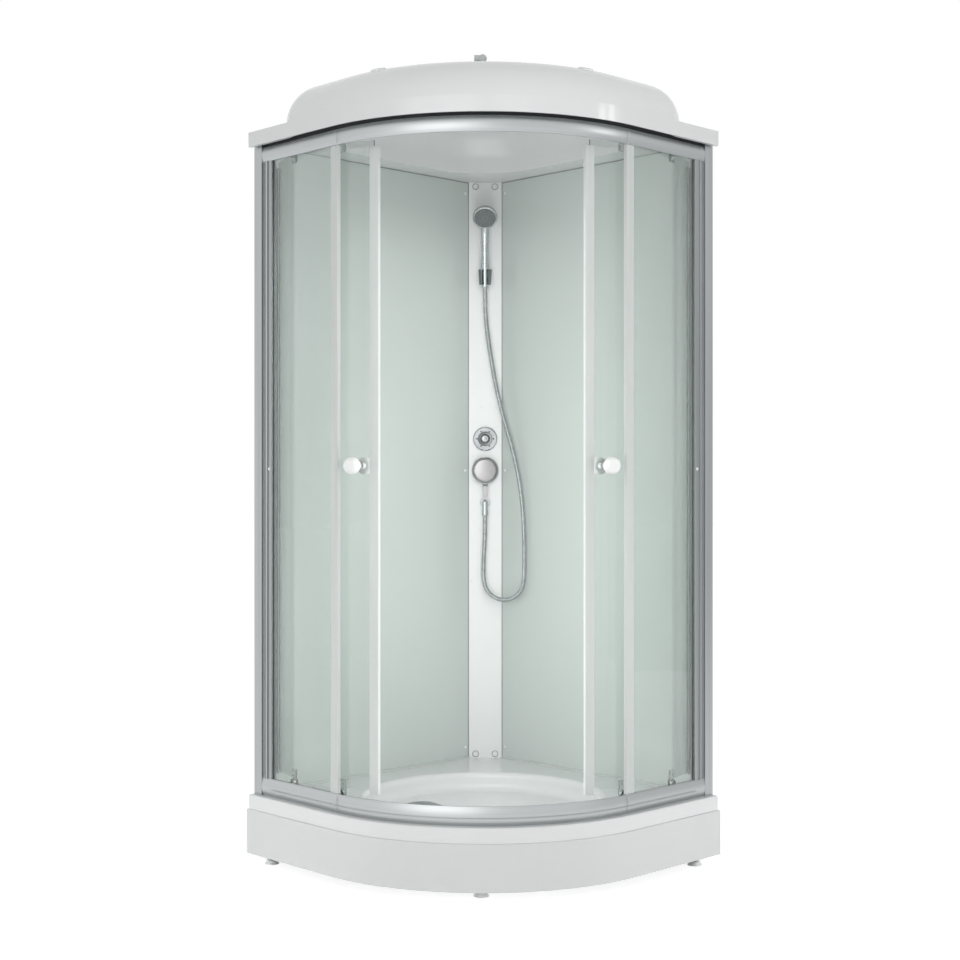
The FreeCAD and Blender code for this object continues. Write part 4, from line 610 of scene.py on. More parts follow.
class Grower:
    """A Geometry Nodes tree with named inputs, and the plain meshes that it gives."""

    def __init__(self, name: str, inputs: dict[str, Socket]) -> None:
        """Start the tree.

        Args:
            name: Name of the tree.
            inputs: Kind of each named input.
        """
        self.tree = bpy.data.node_groups.new(name, "GeometryNodeTree")
        self.tree.interface.new_socket("Geometry", in_out="INPUT", socket_type="NodeSocketGeometry")
        for title, kind in inputs.items():
            self.tree.interface.new_socket(title, in_out="INPUT", socket_type=kind.value)
        self.tree.interface.new_socket("Geometry", in_out="OUTPUT", socket_type="NodeSocketGeometry")
        self.sizes = add_node(self.tree, "NodeGroupInput").outputs

    def work_out(self, sums: tuple[tuple[str | float, ...], ...]) -> dict[str, bpy.types.NodeSocket]:
        """Add the sums of the tree, one after the other.

        Args:
            sums: Title, Blender's name of the sum, and its terms. A term is a named input, an earlier
                title or a number.

        Returns:
            Output socket of each sum by its title, and of the index of each point.
        """
        found = {"Index": add_node(self.tree, "GeometryNodeInputIndex").outputs["Index"]}
        for title, operation, *terms in sums:
            numbers = {place: term for place, term in enumerate(terms) if not isinstance(term, str)}
            sources = {
                place: found.get(term) or self.sizes[term]
                for place, term in enumerate(terms) if isinstance(term, str)
            }
            node = add_node(self.tree, "ShaderNodeMath", {"operation": operation, **numbers}, sources)
            found[title] = node.outputs[0]
        return found

    def close(self, shape: bpy.types.NodeSocket) -> None:
        """End the tree with plain geometry in its finish.

        Args:
            shape: Output socket with the geometry.
        """
        real = add_node(self.tree, "GeometryNodeRealizeInstances", links={"Geometry": shape})
        links = {"Geometry": real.outputs["Geometry"], "Material": self.sizes["Finish"]}
        coated = add_node(self.tree, "GeometryNodeSetMaterial", links=links)
        add_node(self.tree, "NodeGroupOutput", links={"Geometry": coated.outputs["Geometry"]})

    def grow(self, name: str, start: bpy.types.Mesh, values: dict[str, object]) -> bpy.types.Mesh:
        """Run the tree on a start mesh.

        Args:
            name: Name of the mesh that it gives.
            start: Mesh that the tree takes in.
            values: Value of each named input.

        Returns:
            Plain mesh.
        """
        carrier = add_object(f"{name}_maker", start)
        modifier = carrier.modifiers.new("grow", "NODES")
        modifier.node_group = self.tree
        for item in self.tree.interface.items_tree:
            if item.in_out == "INPUT" and item.name in values:
                modifier[item.identifier] = values[item.name]
        mesh = plain_mesh(carrier)
        mesh.name = name
        return mesh


class RingGrower(Grower):
    """Turned parts that repeat on rings round an axis, such as nozzles and marks."""

    def __init__(self) -> None:
        """Build the tree."""
        super().__init__("parts_in_rings", {
            "Rings": Socket.COUNT,
            "Per Ring": Socket.COUNT,
            "First Radius": Socket.LENGTH,
            "Ring Step": Socket.LENGTH,
            "Place": Socket.PLACE,
            "Turn": Socket.PLACE,
            "Finish": Socket.FINISH,
        })
        tree, sizes = self.tree, self.sizes
        found = self.work_out((
            ("total", "MULTIPLY", "Rings", "Per Ring"),
            ("share", "DIVIDE", "Index", "Per Ring"),
            ("ring", "FLOOR", "share"),
            ("half step", "MULTIPLY", "ring", 0.5),
            ("spread", "DIVIDE", "half step", "Per Ring"),
            ("turned", "ADD", "share", "spread"),
            ("angle", "MULTIPLY", "turned", FULL_TURN),
            ("growth", "MULTIPLY", "ring", "Ring Step"),
            ("radius", "ADD", "First Radius", "growth"),
        ))
        angle = found["angle"]
        turn = add_node(tree, "ShaderNodeCombineXYZ", links={"Z": angle}).outputs["Vector"]
        arm = add_node(tree, "ShaderNodeCombineXYZ", links={"X": found["radius"]}).outputs["Vector"]
        spot = add_node(
            tree,
            "ShaderNodeVectorRotate",
            {"rotation_type": "Z_AXIS"},
            {"Vector": arm, "Angle": angle},
        ).outputs["Vector"]
        points = add_node(tree, "GeometryNodePoints", links={"Count": found["total"], "Position": spot})
        spin = add_node(tree, "FunctionNodeEulerToRotation", links={"Euler": turn})
        copies = add_node(tree, "GeometryNodeInstanceOnPoints", links={
            "Points": points.outputs["Points"],
            "Instance": sizes["Geometry"],
            "Rotation": spin.outputs["Rotation"],
        })
        aim = add_node(tree, "FunctionNodeEulerToRotation", links={"Euler": sizes["Turn"]})
        placed = add_node(tree, "GeometryNodeTransform", links={
            "Geometry": copies.outputs["Instances"],
            "Translation": sizes["Place"],
            "Rotation": aim.outputs["Rotation"],
        })
        self.close(placed.outputs["Geometry"])

    def ring(
        self,
        name: str,
        profile: Profile,
        sides: int,
        count: tuple[int, int],
        sizes: Pair,
        place: Matrix,
    ) -> bpy.types.Mesh:
        """Repeat a small turned part on rings.

        Args:
            name: Name of the mesh.
            profile: Radius and height of each point of the part in millimetres, its foot at 0.
            sides: Sides of the part.
            count: Rings and parts on each ring.
            sizes: Radius of the first ring and the step to the next, in millimetres.
            place: Where the rings' middle and axis are.

        Returns:
            Mesh of all the parts.
        """
        part = lathe_mesh(f"{name}_part", profile, [Matrix.Identity(4)], sides)
        return self.grow(name, part, {
            "Rings": count[0],
            "Per Ring": count[1],
            "First Radius": sizes[0] * MM,
            "Ring Step": sizes[1] * MM,
            "Place": place.to_translation(),
            "Turn": Vector(place.to_euler()),
            "Finish": None,
        })


# Share of a rib's pitch from one ring of a tube's points to the next.
RIB_STEP = 0.25


class TubeGrower(Grower):
    """Round strip along a line, with ribs where it has a rib depth."""

    def __init__(self) -> None:
        """Build the tree."""
        super().__init__("tube_along_line", {
            "Radius": Socket.LENGTH,
            "Rib Pitch": Socket.LENGTH,
            "Rib Depth": Socket.LENGTH,
            "Sides": Socket.COUNT,
            "Finish": Socket.FINISH,
        })
        tree, sizes = self.tree, self.sizes
        line = add_node(tree, "GeometryNodeMeshToCurve", links={"Mesh": sizes["Geometry"]})
        found = self.work_out((
            ("step", "MULTIPLY", "Rib Pitch", RIB_STEP),
            ("phase", "MULTIPLY", "Index", FULL_TURN * RIB_STEP),
            ("wave", "COSINE", "phase"),
            ("dip", "SUBTRACT", 1.0, "wave"),
            ("groove", "MULTIPLY", "dip", 0.5),
            ("cut", "MULTIPLY", "groove", "Rib Depth"),
            ("radius", "SUBTRACT", "Radius", "cut"),
        ))
        evened = add_node(
            tree,
            "GeometryNodeResampleCurve",
            {"mode": "LENGTH"},
            {"Curve": line.outputs["Curve"], "Length": found["step"]},
        )
        round_end = add_node(
            tree, "GeometryNodeCurvePrimitiveCircle", {"Radius": 1.0}, {"Resolution": sizes["Sides"]}
        )
        tube = add_node(tree, "GeometryNodeCurveToMesh", {"Fill Caps": True}, {
            "Curve": evened.outputs["Curve"],
            "Profile Curve": round_end.outputs["Curve"],
            "Scale": found["radius"],
        })
        smooth = add_node(tree, "GeometryNodeSetShadeSmooth", links={"Geometry": tube.outputs["Mesh"]})
        self.close(smooth.outputs["Geometry"])


RINGS = RingGrower()
TUBES = TubeGrower()
# Thin trims have no ribs; this pitch, in millimetres, sets how closely they follow their line.
TRIM_PITCH = 40.0
TRIM_SIDES = 14


def settle_tubes(
    name: str,
    lines: Sequence[tuple[list[Vector], float]],
    finish: Finish,
) -> bpy.types.Object:
    """Put smooth tubes along some lines into the scene as one piece of the cabin.

    Args:
        name: Name of the piece.
        lines: Points of each line in metres, and radius of its tube in millimetres.
        finish: Its finish.

    Returns:
        The piece.
    """
    work = bmesh.new()
    for points, radius in lines:
        line = bpy.data.meshes.new("tube_line")
        line.from_pydata(points, [(index, index + 1) for index in range(len(points) - 1)], [])
        work.from_mesh(TUBES.grow("tube", line, {
            "Radius": radius * MM,
            "Rib Pitch": TRIM_PITCH * MM,
            "Rib Depth": 0.0,
            "Sides": TRIM_SIDES,
        }))
    return settle(name, finish_mesh(name, work), finish, Body.CABIN)


def side_axes(side: str) -> tuple[Vector, Vector]:
    """Give a side's directions in plan: along its flat front to the back, and out of it."""
    across, back = SIDES[side] * math.sin(EIGHTH_TURN), math.cos(EIGHTH_TURN)
    return Vector((across, back, 0.0)), Vector((across, -back, 0.0))


# The picture


@dataclass(frozen=True)
class Lamp:
    """A soft lamp.

    Attributes:
        name: Name of the lamp.
        spot: Where it stands.
        target: What it faces.
        size: Width and height in metres.
        power: Power in watts.
        mirrored: Whether glossy surfaces and glass show it.
        spread: Angle of its beam.
        lights: Whether it lights matt surfaces.
    """

    name: str
    spot: Triple
    target: Triple
    size: Pair
    power: float
    mirrored: bool = True
    spread: float = math.pi
    lights: bool = True


@dataclass
class Studio:
    """Camera, soft light and pale floor."""

    lens: float = 58.77
    sensor: float = 36.0
    camera_at: Triple = (0.0505, -4.3269, 1.0257)
    camera_turn: float = 0.0139
    floor_half: float = 30.0
    floor_glow: float = 0.84
    ambient: float = 0.46
    card_at: Triple = (4.8, -0.4, 1.2)
    card_half: float = 2.4
    card_shade: float = 0.7
    lamps: tuple[Lamp, ...] = (
        Lamp("left_lamp", (-5.0, -2.4, 0.3), (0.0, 0.0, 0.0), (3.2, 1.6), 17.0, mirrored=False, spread=0.9),
        Lamp("right_lamp", (5.0, -2.4, 0.3), (0.0, 0.0, 0.3), (3.2, 1.6), 26.0, mirrored=False, spread=1.0),
        Lamp("roof_lamp", (1.2, -4.6, 2.6), (0.0, -0.45, 2.0), (2.0, 1.0), 4.3, mirrored=False, spread=0.9),
        Lamp("front_lamp", (-2.4, -5.6, 1.8), (0.0, 0.0, 1.0), (4.4, 3.4), 64.0),
        Lamp("doorway_lamp", (0.0, -0.45, 0.95), (0.0, 1.0, 0.95), (0.3, 1.6), 5.5, mirrored=False),
        Lamp("near_window", (4.0, -1.75, 2.5), (0.3, -0.4, 1.75), (0.3, 0.75), 5.0, lights=False),
        Lamp("far_window", (4.1, -1.25, 2.5), (0.3, -0.4, 1.75), (0.3, 0.75), 5.0, lights=False),
    )

    def set_camera(self) -> None:
        """Put the camera where the photograph was taken from."""
        lens = bpy.data.cameras.new("camera")
        lens.lens = self.lens
        lens.sensor_width = self.sensor
        camera = add_object("camera", lens)
        camera.location = self.camera_at
        camera.rotation_euler = (QUARTER_TURN, 0.0, self.camera_turn)
        bpy.context.scene.camera = camera

    def seen(self, tree: bpy.types.NodeTree) -> bpy.types.NodeSocket:
        """Tell the rays that show the background from those that light the object.

        Args:
            tree: Tree that takes the nodes.

        Returns:
            Output socket that is 1 for camera, glossy and transmission rays.
        """
        path = add_node(tree, "ShaderNodeLightPath").outputs
        shown = path["Is Camera Ray"]
        for kind in ("Is Glossy Ray", "Is Transmission Ray"):
            either = add_node(tree, "ShaderNodeMath", {"operation": "MAXIMUM"}, {0: shown, 1: path[kind]})
            shown = either.outputs[0]
        return shown

    def set_world(self) -> None:
        """White behind the object, and an even soft light on it."""
        world = bpy.data.worlds.new("studio")
        world.use_nodes = True
        tree = world.node_tree
        limits = {"To Min": self.ambient, "To Max": 1.0}
        strength = add_node(tree, "ShaderNodeMapRange", limits, {"Value": self.seen(tree)})
        tree.links.new(strength.outputs["Result"], tree.nodes["Background"].inputs["Strength"])
        tree.nodes["Background"].inputs["Color"].default_value = linear("#ffffff")
        bpy.context.scene.world = world

    def sheet(self, name: str, half: float, place: Matrix, title: str) -> bpy.types.Object:
        """Add a square sheet with an empty material.

        Args:
            name: Name of the sheet.
            half: Half of its side in metres.
            place: Where its middle lies, with its face along z.
            title: Name of the material.

        Returns:
            The sheet.
        """
        work = bmesh.new()
        bmesh.ops.create_grid(work, x_segments=1, y_segments=1, size=half, matrix=place)
        mesh = bpy.data.meshes.new(name)
        work.to_mesh(mesh)
        work.free()
        material = bpy.data.materials.new(title)
        material.use_nodes = True
        material.node_tree.nodes.remove(material.node_tree.nodes["Principled BSDF"])
        mesh.materials.append(material)
        return add_object(name, mesh)

    def set_floor(self) -> None:
        """White floor that keeps the shadow of the cabin."""
        floor = self.sheet("studio_floor", self.floor_half, Matrix.Identity(4), "paper floor, matt white")
        tree = floor.data.materials[0].node_tree
        paper = add_node(tree, "ShaderNodeBsdfDiffuse", {"Color": linear("#dcdcdc")})
        shade = add_node(tree, "ShaderNodeBsdfDiffuse", {"Color": linear("#b4b4b4")})
        glow = add_node(
            tree, "ShaderNodeEmission", {"Color": linear("#ffffff"), "Strength": self.floor_glow}
        )
        bright = add_node(tree, "ShaderNodeAddShader", links={0: shade.outputs[0], 1: glow.outputs[0]})
        mixed = add_node(tree, "ShaderNodeMixShader", links={
            0: self.seen(tree), 1: paper.outputs[0], 2: bright.outputs[0],
        })
        tree.links.new(mixed.outputs[0], tree.nodes["Material Output"].inputs["Surface"])

    def set_card(self) -> None:
        """Grey card on the right, which only the polished and brushed surfaces mirror."""
        upright = Matrix.Translation(self.card_at) @ Matrix.Rotation(QUARTER_TURN, 4, "Y")
        card = self.sheet("studio_card", self.card_half, upright, "card, matt grey")
        tree = card.data.materials[0].node_tree
        glow = add_node(
            tree, "ShaderNodeEmission", {"Color": linear("#ffffff"), "Strength": self.card_shade}
        )
        tree.links.new(glow.outputs[0], tree.nodes["Material Output"].inputs["Surface"])
        card.visible_camera = False
        card.visible_diffuse = False
        card.visible_transmission = False
        card.visible_shadow = False

    def set_lamps(self) -> None:
        """Soft lamps round the cabin, a weak one in the doorway, and two seen only as mirrored windows."""
        for lamp in self.lamps:
            light = bpy.data.lights.new(lamp.name, "AREA")
            light.shape = "RECTANGLE"
            light.size, light.size_y = lamp.size
            light.energy = lamp.power
            light.spread = lamp.spread
            stand = add_object(lamp.name, light)
            stand.location = lamp.spot
            aim = Vector(lamp.target) - Vector(lamp.spot)
            stand.rotation_euler = aim.to_track_quat("-Z", "Y").to_euler()
            stand.visible_camera = False
            stand.visible_diffuse = lamp.lights
            stand.visible_glossy = lamp.mirrored
            stand.visible_transmission = lamp.mirrored

    def build(self) -> list[bpy.types.Object]:
        """Set the whole studio up.

        Returns:
            No piece, as none belongs to the cabin.
        """
        bpy.context.scene.view_settings.view_transform = "Standard"
        self.set_camera()
        self.set_world()
        self.set_floor()
        self.set_card()
        self.set_lamps()
        return []


# The pieces


@dataclass
class ShowerHose:
    """Metal hose from the handset's nut to the outlet, hanging in a loop."""

    radius: float = 7.0
    length: float = 1.2891
    # The strip is wound every 3 mm; ribs twice as wide still show in the picture.
    rib_pitch: float = 6.0
    rib_depth: float = 0.9
    sides: int = 18
    resolution: int = 12
    order: int = 3
    blend_start: Triple = (0.0, 0.4242, 1.6)
    blend_end: Triple = (0.11, 0.375, 0.95)
    route: tuple[Triple, ...] = (
        (0.0, 0.42366, 1.61011), (0.0, 0.43020, 1.53540), (0.00897, 0.42948, 1.45273),
        (0.02195, 0.42548, 1.37006), (0.03705, 0.41850, 1.28739), (0.05806, 0.40801, 1.20472),
        (0.08201, 0.39554, 1.12205), (0.10101, 0.38307, 1.03938), (0.11198, 0.37502, 0.95671),
        (0.11706, 0.37156, 0.87404), (0.118, 0.37055, 0.79137), (0.11706, 0.37102, 0.7087),
        (0.09387, 0.38053, 0.67443), (0.05603, 0.39603, 0.6611), (0.01819, 0.41154, 0.67443),
        (-0.005, 0.42105, 0.7087), (-0.005, 0.42105, 0.7796), (0.0, 0.42105, 0.8505),
        (0.0, 0.42105, 0.9165),
    )

    def line(self) -> bpy.types.Mesh:
        """Read the smooth line of the route from its spline."""
        curve = bpy.data.curves.new("hose_line", "CURVE")
        curve.dimensions = "3D"
        curve.resolution_u = self.resolution
        spline = curve.splines.new("NURBS")
        spline.points.add(len(self.route) - 1)
        for point, spot in zip(spline.points, self.route):
            point.co = (*spot, 1.0)
        spline.order_u = self.order
        spline.use_endpoint_u = True
        return plain_mesh(add_object("hose_line", curve))

    def build(self) -> list[bpy.types.Object]:
        """Returns:
            The hose.
        """
        line = self.line()
        mesh = TUBES.grow("hose_tube", line, {
            "Radius": self.radius * MM,
            "Rib Pitch": self.rib_pitch * MM,
            "Rib Depth": self.rib_depth * MM,
            "Sides": self.sides,
        })
        hose = dressed("hose_tube", mesh, HOSE_STEEL)
        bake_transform(hose)
        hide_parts("shower_hose")
        return [hose]


@dataclass
class Handset:
    """Handset with its slender handle, its ring and its spray nozzles."""

    tilt: float = 5.0
    fork_forward: float = 36.0
    fork_height: float = 1640.0
    handle_foot: float = 24.0
    head_pitch: float = 36.0
    head_forward: float = 34.0
    head_reach: float = 174.0
    head_radius: float = 37.5
    head_depth: float = 36.0
    face_radius: float = 31.8
    # Back of the head from its middle to the rim, in shares of its radius and depth.
    back_curve: Profile = ((0.0, 1.0), (0.3, 0.97), (0.58, 0.87), (0.8, 0.7), (0.93, 0.48), (0.99, 0.26))
    # Rolled rim: distance in from the head's radius, and height over the face.
    rim_curve: Profile = ((0.0, -4.8), (0.0, -2.4), (0.9, -0.6), (2.4, 0.0))
    # Pocket of the spray face: distance out from the face's radius, and height over the face.
    pocket_curve: Profile = ((0.7, -0.2), (0.0, -1.0), (0.0, -3.0))
    # Handle from its foot to the head: height over the foot, shift along y, half width, half depth.
    handle_stations: tuple[tuple[float, float, float, float], ...] = (
        (0.0, 0.0, 12.0, 12.0), (4.0, 0.0, 12.4, 12.4), (18.0, 0.0, 11.4, 11.4),
        (50.0, 0.2, 10.6, 10.4), (85.0, 0.2, 11.2, 10.8), (112.0, -0.6, 12.4, 11.4),
        (132.0, -4.0, 14.0, 12.0), (147.0, -11.0, 15.5, 11.5), (154.0, -19.0, 15.0, 9.0),
    )
    nozzle_radius: float = 1.5
    nozzle_height: float = 1.6
    nozzle_curve: Profile = ((1.0, 0.0), (0.8, 0.7), (0.5, 1.0), (0.0, 0.6))
    nozzle_sides: int = 8
    nozzle_count: tuple[int, int] = (3, 12)
    nozzle_rings: Pair = (9.0, 8.5)

    def grip_place(self) -> Matrix:
        """Place of the fork's middle, tilted as the handset hangs."""
        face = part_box("mixer_rosette")[1].y
        spot = Matrix.Translation((0.0, face - self.fork_forward * MM, self.fork_height * MM))
        return spot @ Matrix.Rotation(math.radians(self.tilt), 4, "X")

    def head_place(self) -> Matrix:
        """Place of the spray face, its axis forwards and down."""
        shift = Matrix.Translation((0.0, -self.head_forward * MM, self.head_reach * MM))
        pitch = QUARTER_TURN + math.radians(self.head_pitch)
        return self.grip_place() @ shift @ Matrix.Rotation(pitch, 4, "X")

    def shell(self) -> bpy.types.Object:
        """Make the handle and the head as one smooth chrome shell."""
        work = bmesh.new()
        rim, face = self.head_radius, self.face_radius
        back = scaled(self.back_curve, rim, -self.head_depth)
        ring = [(rim - inset, height) for inset, height in self.rim_curve]
        pocket = [(face + outset, height) for outset, height in self.pocket_curve]
        middle = (0.0, self.pocket_curve[-1][1])
        add_lathe(work, [*back, *ring, *pocket, middle], self.head_place())
        stations = [
            (Vector((0.0, shift, self.handle_foot + height)), wide, deep)
            for height, shift, wide, deep in self.handle_stations
        ]
        add_sweep(work, stations, self.grip_place())
        mesh = finish_mesh("handset_shell", work)
        return settle("handset_shell", mesh, CHROME, Body.HANDSET, ("handset_body",))

    def nozzles(self) -> bpy.types.Object:
        """Make the rings of small nozzles on the spray face."""
        profile = scaled(self.nozzle_curve, self.nozzle_radius, self.nozzle_height)
        count, sizes = self.nozzle_count, self.nozzle_rings
        mesh = RINGS.ring("handset_nozzles", profile, self.nozzle_sides, count, sizes, self.head_place())
        return settle("handset_nozzles", mesh, GREY, Body.HANDSET)

    def build(self) -> list[bpy.types.Object]:
        """Make the shell and the nozzles."""
        return [self.shell(), self.nozzles()]


@dataclass
class Mixer:
    """Mixer cap with its lever, and the bowl, button and marks of the diverter above it."""

    cap_radius: float = 38.5
    cap_back: float = 20.0
    cap_front: float = 36.0
    cap_wall: float = 4.0
    lever_half: float = 6.8
    lever_edge: float = 0.9
    lever_length: float = 44.0
    lever_back: float = 20.0
    lever_front: float = 29.0
    band_drop: float = 1.5
    band_height: float = 9.0
    band_proud: float = 0.4
    # Face of the cap from its middle to its side: share of the radius, and drop from the front.
    face_curve: Profile = (
        (0.0, 0.0), (0.3, 0.15), (0.6, 0.6), (0.8, 1.2), (0.86, 1.6), (0.885, 2.4), (0.91, 2.7),
        (0.95, 3.3), (0.98, 4.6), (1.0, 7.0),
    )
    foot_edge: float = 1.0
    # Hollow of the cap: share of its radius, and rise from the back.
    hollow_curve: Profile = ((1.0, 0.0), (0.96, 6.0), (0.7, 10.0), (0.0, 12.0))
    # Bowl and button of the diverter: radius, and height over the knob's front.
    bowl_curve: Profile = (
        (22.5, -0.5), (22.5, 1.4), (21.4, 2.6), (19.8, 2.4), (18.6, 0.7), (15.4, 0.4), (14.2, 1.8),
        (12.8, 2.2), (11.4, 0.9), (9.6, 0.5), (9.6, -0.5),
    )
    button_curve: Profile = (
        (9.4, -0.5), (9.4, 2.4), (8.6, 3.6), (7.0, 4.0), (5.4, 3.6), (4.0, 4.1), (2.2, 4.9), (0.0, 5.2),
    )
    dot_ring: float = 25.0
    dot_radius: float = 2.0
    dot_count: int = 6
    dot_sides: int = 10
    # A mark: share of its radius, and height over the knob's front.
    dot_curve: Profile = ((0.0, 0.5), (0.7, 0.4), (1.0, 0.0), (1.0, -0.6))

    def place(self, node: str) -> Matrix:
        """Place on the column's face in the middle of a rosette, its axis forwards."""
        low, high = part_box(node)
        spot = Vector(((low.x + high.x) / 2.0, high.y, (low.z + high.z) / 2.0))
        return Matrix.Translation(spot) @ Matrix.Rotation(QUARTER_TURN, 4, "X")

    def cap(self) -> bpy.types.Object:
        """Make the flat-faced cap with its rolled rim, and the lever."""
        work = bmesh.new()
        wide, back, front = self.cap_radius, self.cap_back, self.cap_front
        hollow = wide - self.cap_wall
        place = self.place("mixer_rosette")
        face = [(wide * share, front - drop) for share, drop in self.face_curve]
        foot = [(wide, back + self.foot_edge), (wide - self.foot_edge, back)]
        inside = [(hollow * share, back + rise) for share, rise in self.hollow_curve]
        add_lathe(work, face + foot + inside, place)
        low = (-self.lever_half, -wide - self.lever_length, self.lever_back)
        high = (self.lever_half, -wide + self.cap_wall, self.lever_front)
        add_bar(work, low, high, self.lever_edge, place)
        mesh = finish_mesh("mixer_cap", work)
        return settle("mixer_cap", mesh, SATIN_CHROME, Body.MIXER_HANDLE, ("mixer_handle",))

    def band(self) -> bpy.types.Object:
        """Make the dark band round the lever."""
        work = bmesh.new()
        top = -self.cap_radius - self.band_drop
        wide = self.lever_half + self.band_proud
        low = (-wide, top - self.band_height, self.lever_back - self.band_proud)
        high = (wide, top, self.lever_front + self.band_proud)
        add_bar(work, low, high, self.lever_edge, self.place("mixer_rosette"))
        mesh = finish_mesh("lever_band", work)
        return settle("lever_band", mesh, SPRAY_RUBBER, Body.MIXER_HANDLE)

    def diverter_face(self) -> Matrix:
        """Place of the diverter knob's front, its axis forwards."""
        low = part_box("diverter_knob")[0]
        place = self.place("diverter_rosette")
        return place @ Matrix.Translation((0.0, 0.0, place.to_translation().y - low.y))

    def boss(self) -> bpy.types.Object:
        """Make the stepped bowl of the diverter knob."""
        mesh = lathe_mesh("diverter_boss", self.bowl_curve, [self.diverter_face()])
        # The bowl's chrome is painted darker, painted shade for the dark reflections in its hollow.
        return settle("diverter_boss", mesh, SHADE_PAINTED_CHROME, Body.DIVERTER)

    def button(self) -> bpy.types.Object:
        """Make the bright button in the middle of the bowl."""
        mesh = lathe_mesh("diverter_button", self.button_curve, [self.diverter_face()])
        return settle("diverter_button", mesh, CHROME, Body.DIVERTER)

    def dots(self) -> bpy.types.Object:
        """Make the small dark marks on the front of the diverter knob."""
        profile = scaled(self.dot_curve, self.dot_radius, 1.0)
        count, sizes = (1, self.dot_count), (self.dot_ring, 0.0)
        mesh = RINGS.ring("diverter_dots", profile, self.dot_sides, count, sizes, self.diverter_face())
        return settle("diverter_dots", mesh, BLACK, Body.DIVERTER)

    def build(self) -> list[bpy.types.Object]:
        """Make the cap, its band, and the diverter's bowl, button and marks."""
        return [self.cap(), self.band(), self.boss(), self.button(), self.dots()]


@dataclass
class Enclosure:
    """Trim of the posts, channels and rails along the front."""

    arc_middle: float = 27.51
    half_arc: float = EIGHTH_TURN
    rail_front: float = 525.0
    rail_bulge: float = 4.0
    joint_radius: float = 0.8
    joint_sink: float = 0.4
    joint_steps: int = 12
    crease_share: float = 0.4
    crease_radius: float = 0.8
    crease_sink: float = 0.48
    bend_steps: int = 48
    straight: float = 278.0
    groove_width: float = 15.0
    bead_width: float = 6.0
    strip_proud: float = 0.8
    strip_edge: float = 0.3
    bead_proud: float = 2.0
    bead_edge: float = 1.4
    trim_sink: float = 1.0

    def wall_place(self, side: str) -> Matrix:
        """Frame of a flat front side, from the arc's middle: x along it, y outwards, z up."""
        along, outward = side_axes(side)
        turn = Matrix((along, outward, Vector((0.0, 0.0, 1.0)))).transposed().to_4x4()
        return Matrix.Translation((0.0, self.arc_middle * MM, 0.0)) @ turn

    def span(self, node: str, side: str) -> tuple[Vector, Vector]:
        """Give the lowest and highest corner of a node in a side's frame, in millimetres."""
        into = self.wall_place(side).inverted()
        spots = [into @ vert.co / MM for vert in frame["nodes"][node].data.vertices]
        low = Vector([min(spot[axis] for spot in spots) for axis in range(3)])
        high = Vector([max(spot[axis] for spot in spots) for axis in range(3)])
        return low, high

    def channel_trim(self, side: str) -> list[bpy.types.Object]:
        """Make the dark joint strip and the bright bead on the glass channel of a side."""
        place = self.wall_place(side)
        high = self.span(f"{side}_glass_channel", side)[1]
        foot = self.span("bottom_rail", side)[1].z
        head = self.span("top_rail", side)[0].z
        groove = high.x - self.groove_width
        trims = (
            ("joint_strip", groove, high.x, self.strip_proud, self.strip_edge, GREY_GASKET_AND_SHADE, Slot.BLACK),
            ("channel_bead", groove - self.bead_width, groove, self.bead_proud, self.bead_edge,
             POST_ALUMINIUM, Slot.ALUMINIUM),
        )
        pieces = []
        for title, start, end, proud, edge, finish, slot in trims:
            work = bmesh.new()
            add_bar(work, (start, high.y - self.trim_sink, foot), (end, high.y + proud, head), edge, place)
            pieces.append(settle(f"{side}_{title}", finish_mesh(title, work), finish, Body.CABIN))
        return pieces

    def front_line(self, offset: float, height: float, reach: float) -> list[Vector]:
        """Walk along the front at one height.

        Args:
            offset: Distance from the arc's middle in millimetres.
            height: Height in millimetres.
            reach: How far the line follows the flat sides, in millimetres.

        Returns:
            Points in metres from left to right.
        """
        left, right = [self.wall_place(side) @ (Vector((reach, offset, height)) * MM) for side in SIDES]
        bend = []
        for step in range(self.bend_steps + 1):
            angle = self.half_arc * (2.0 * step / self.bend_steps - 1.0)
            plan = Vector((offset * math.sin(angle), self.arc_middle - offset * math.cos(angle), height))
            bend.append(plan * MM)
        return [left, *bend, right]

    def rail_reach(self, share: float) -> float:
        """Distance of a rail's bulged face from the arc's middle, at a share of its height."""
        return self.rail_front + self.rail_bulge * (1.0 - (2.0 * share - 1.0) ** 2)

    def rail_lines(self, rail: str) -> bpy.types.Object:
        """Make the joints where a rail's flat ends meet the bend, and the crease along the bottom rail.

        Args:
            rail: Name of the rail's node.

        Returns:
            The lines as one piece.
        """
        low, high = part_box(rail)
        foot, tall = low.z / MM, (high.z - low.z) / MM
        lines = []
        if rail == "bottom_rail":
            offset = self.rail_reach(self.crease_share) - self.crease_sink
            crease = self.front_line(offset, foot + self.crease_share * tall, self.straight)
            lines.append((crease, self.crease_radius))
        for side in SIDES:
            joint = []
            for step in range(1, self.joint_steps):
                part = step / self.joint_steps
                out = self.rail_reach(part) - self.joint_sink
                joint.append(self.wall_place(side) @ (Vector((0.0, out, foot + part * tall)) * MM))
            lines.append((joint, self.joint_radius))
        return settle_tubes(f"{rail}_lines", lines, SHEEN_PAINTED_RAIL_ALUMINIUM)

    def build(self) -> list[bpy.types.Object]:
        """Make the trim of both sides and both rails."""
        pieces = [self.rail_lines("bottom_rail"), self.rail_lines("top_rail")]
        for side in SIDES:
            pieces.extend(self.channel_trim(side))
        return pieces


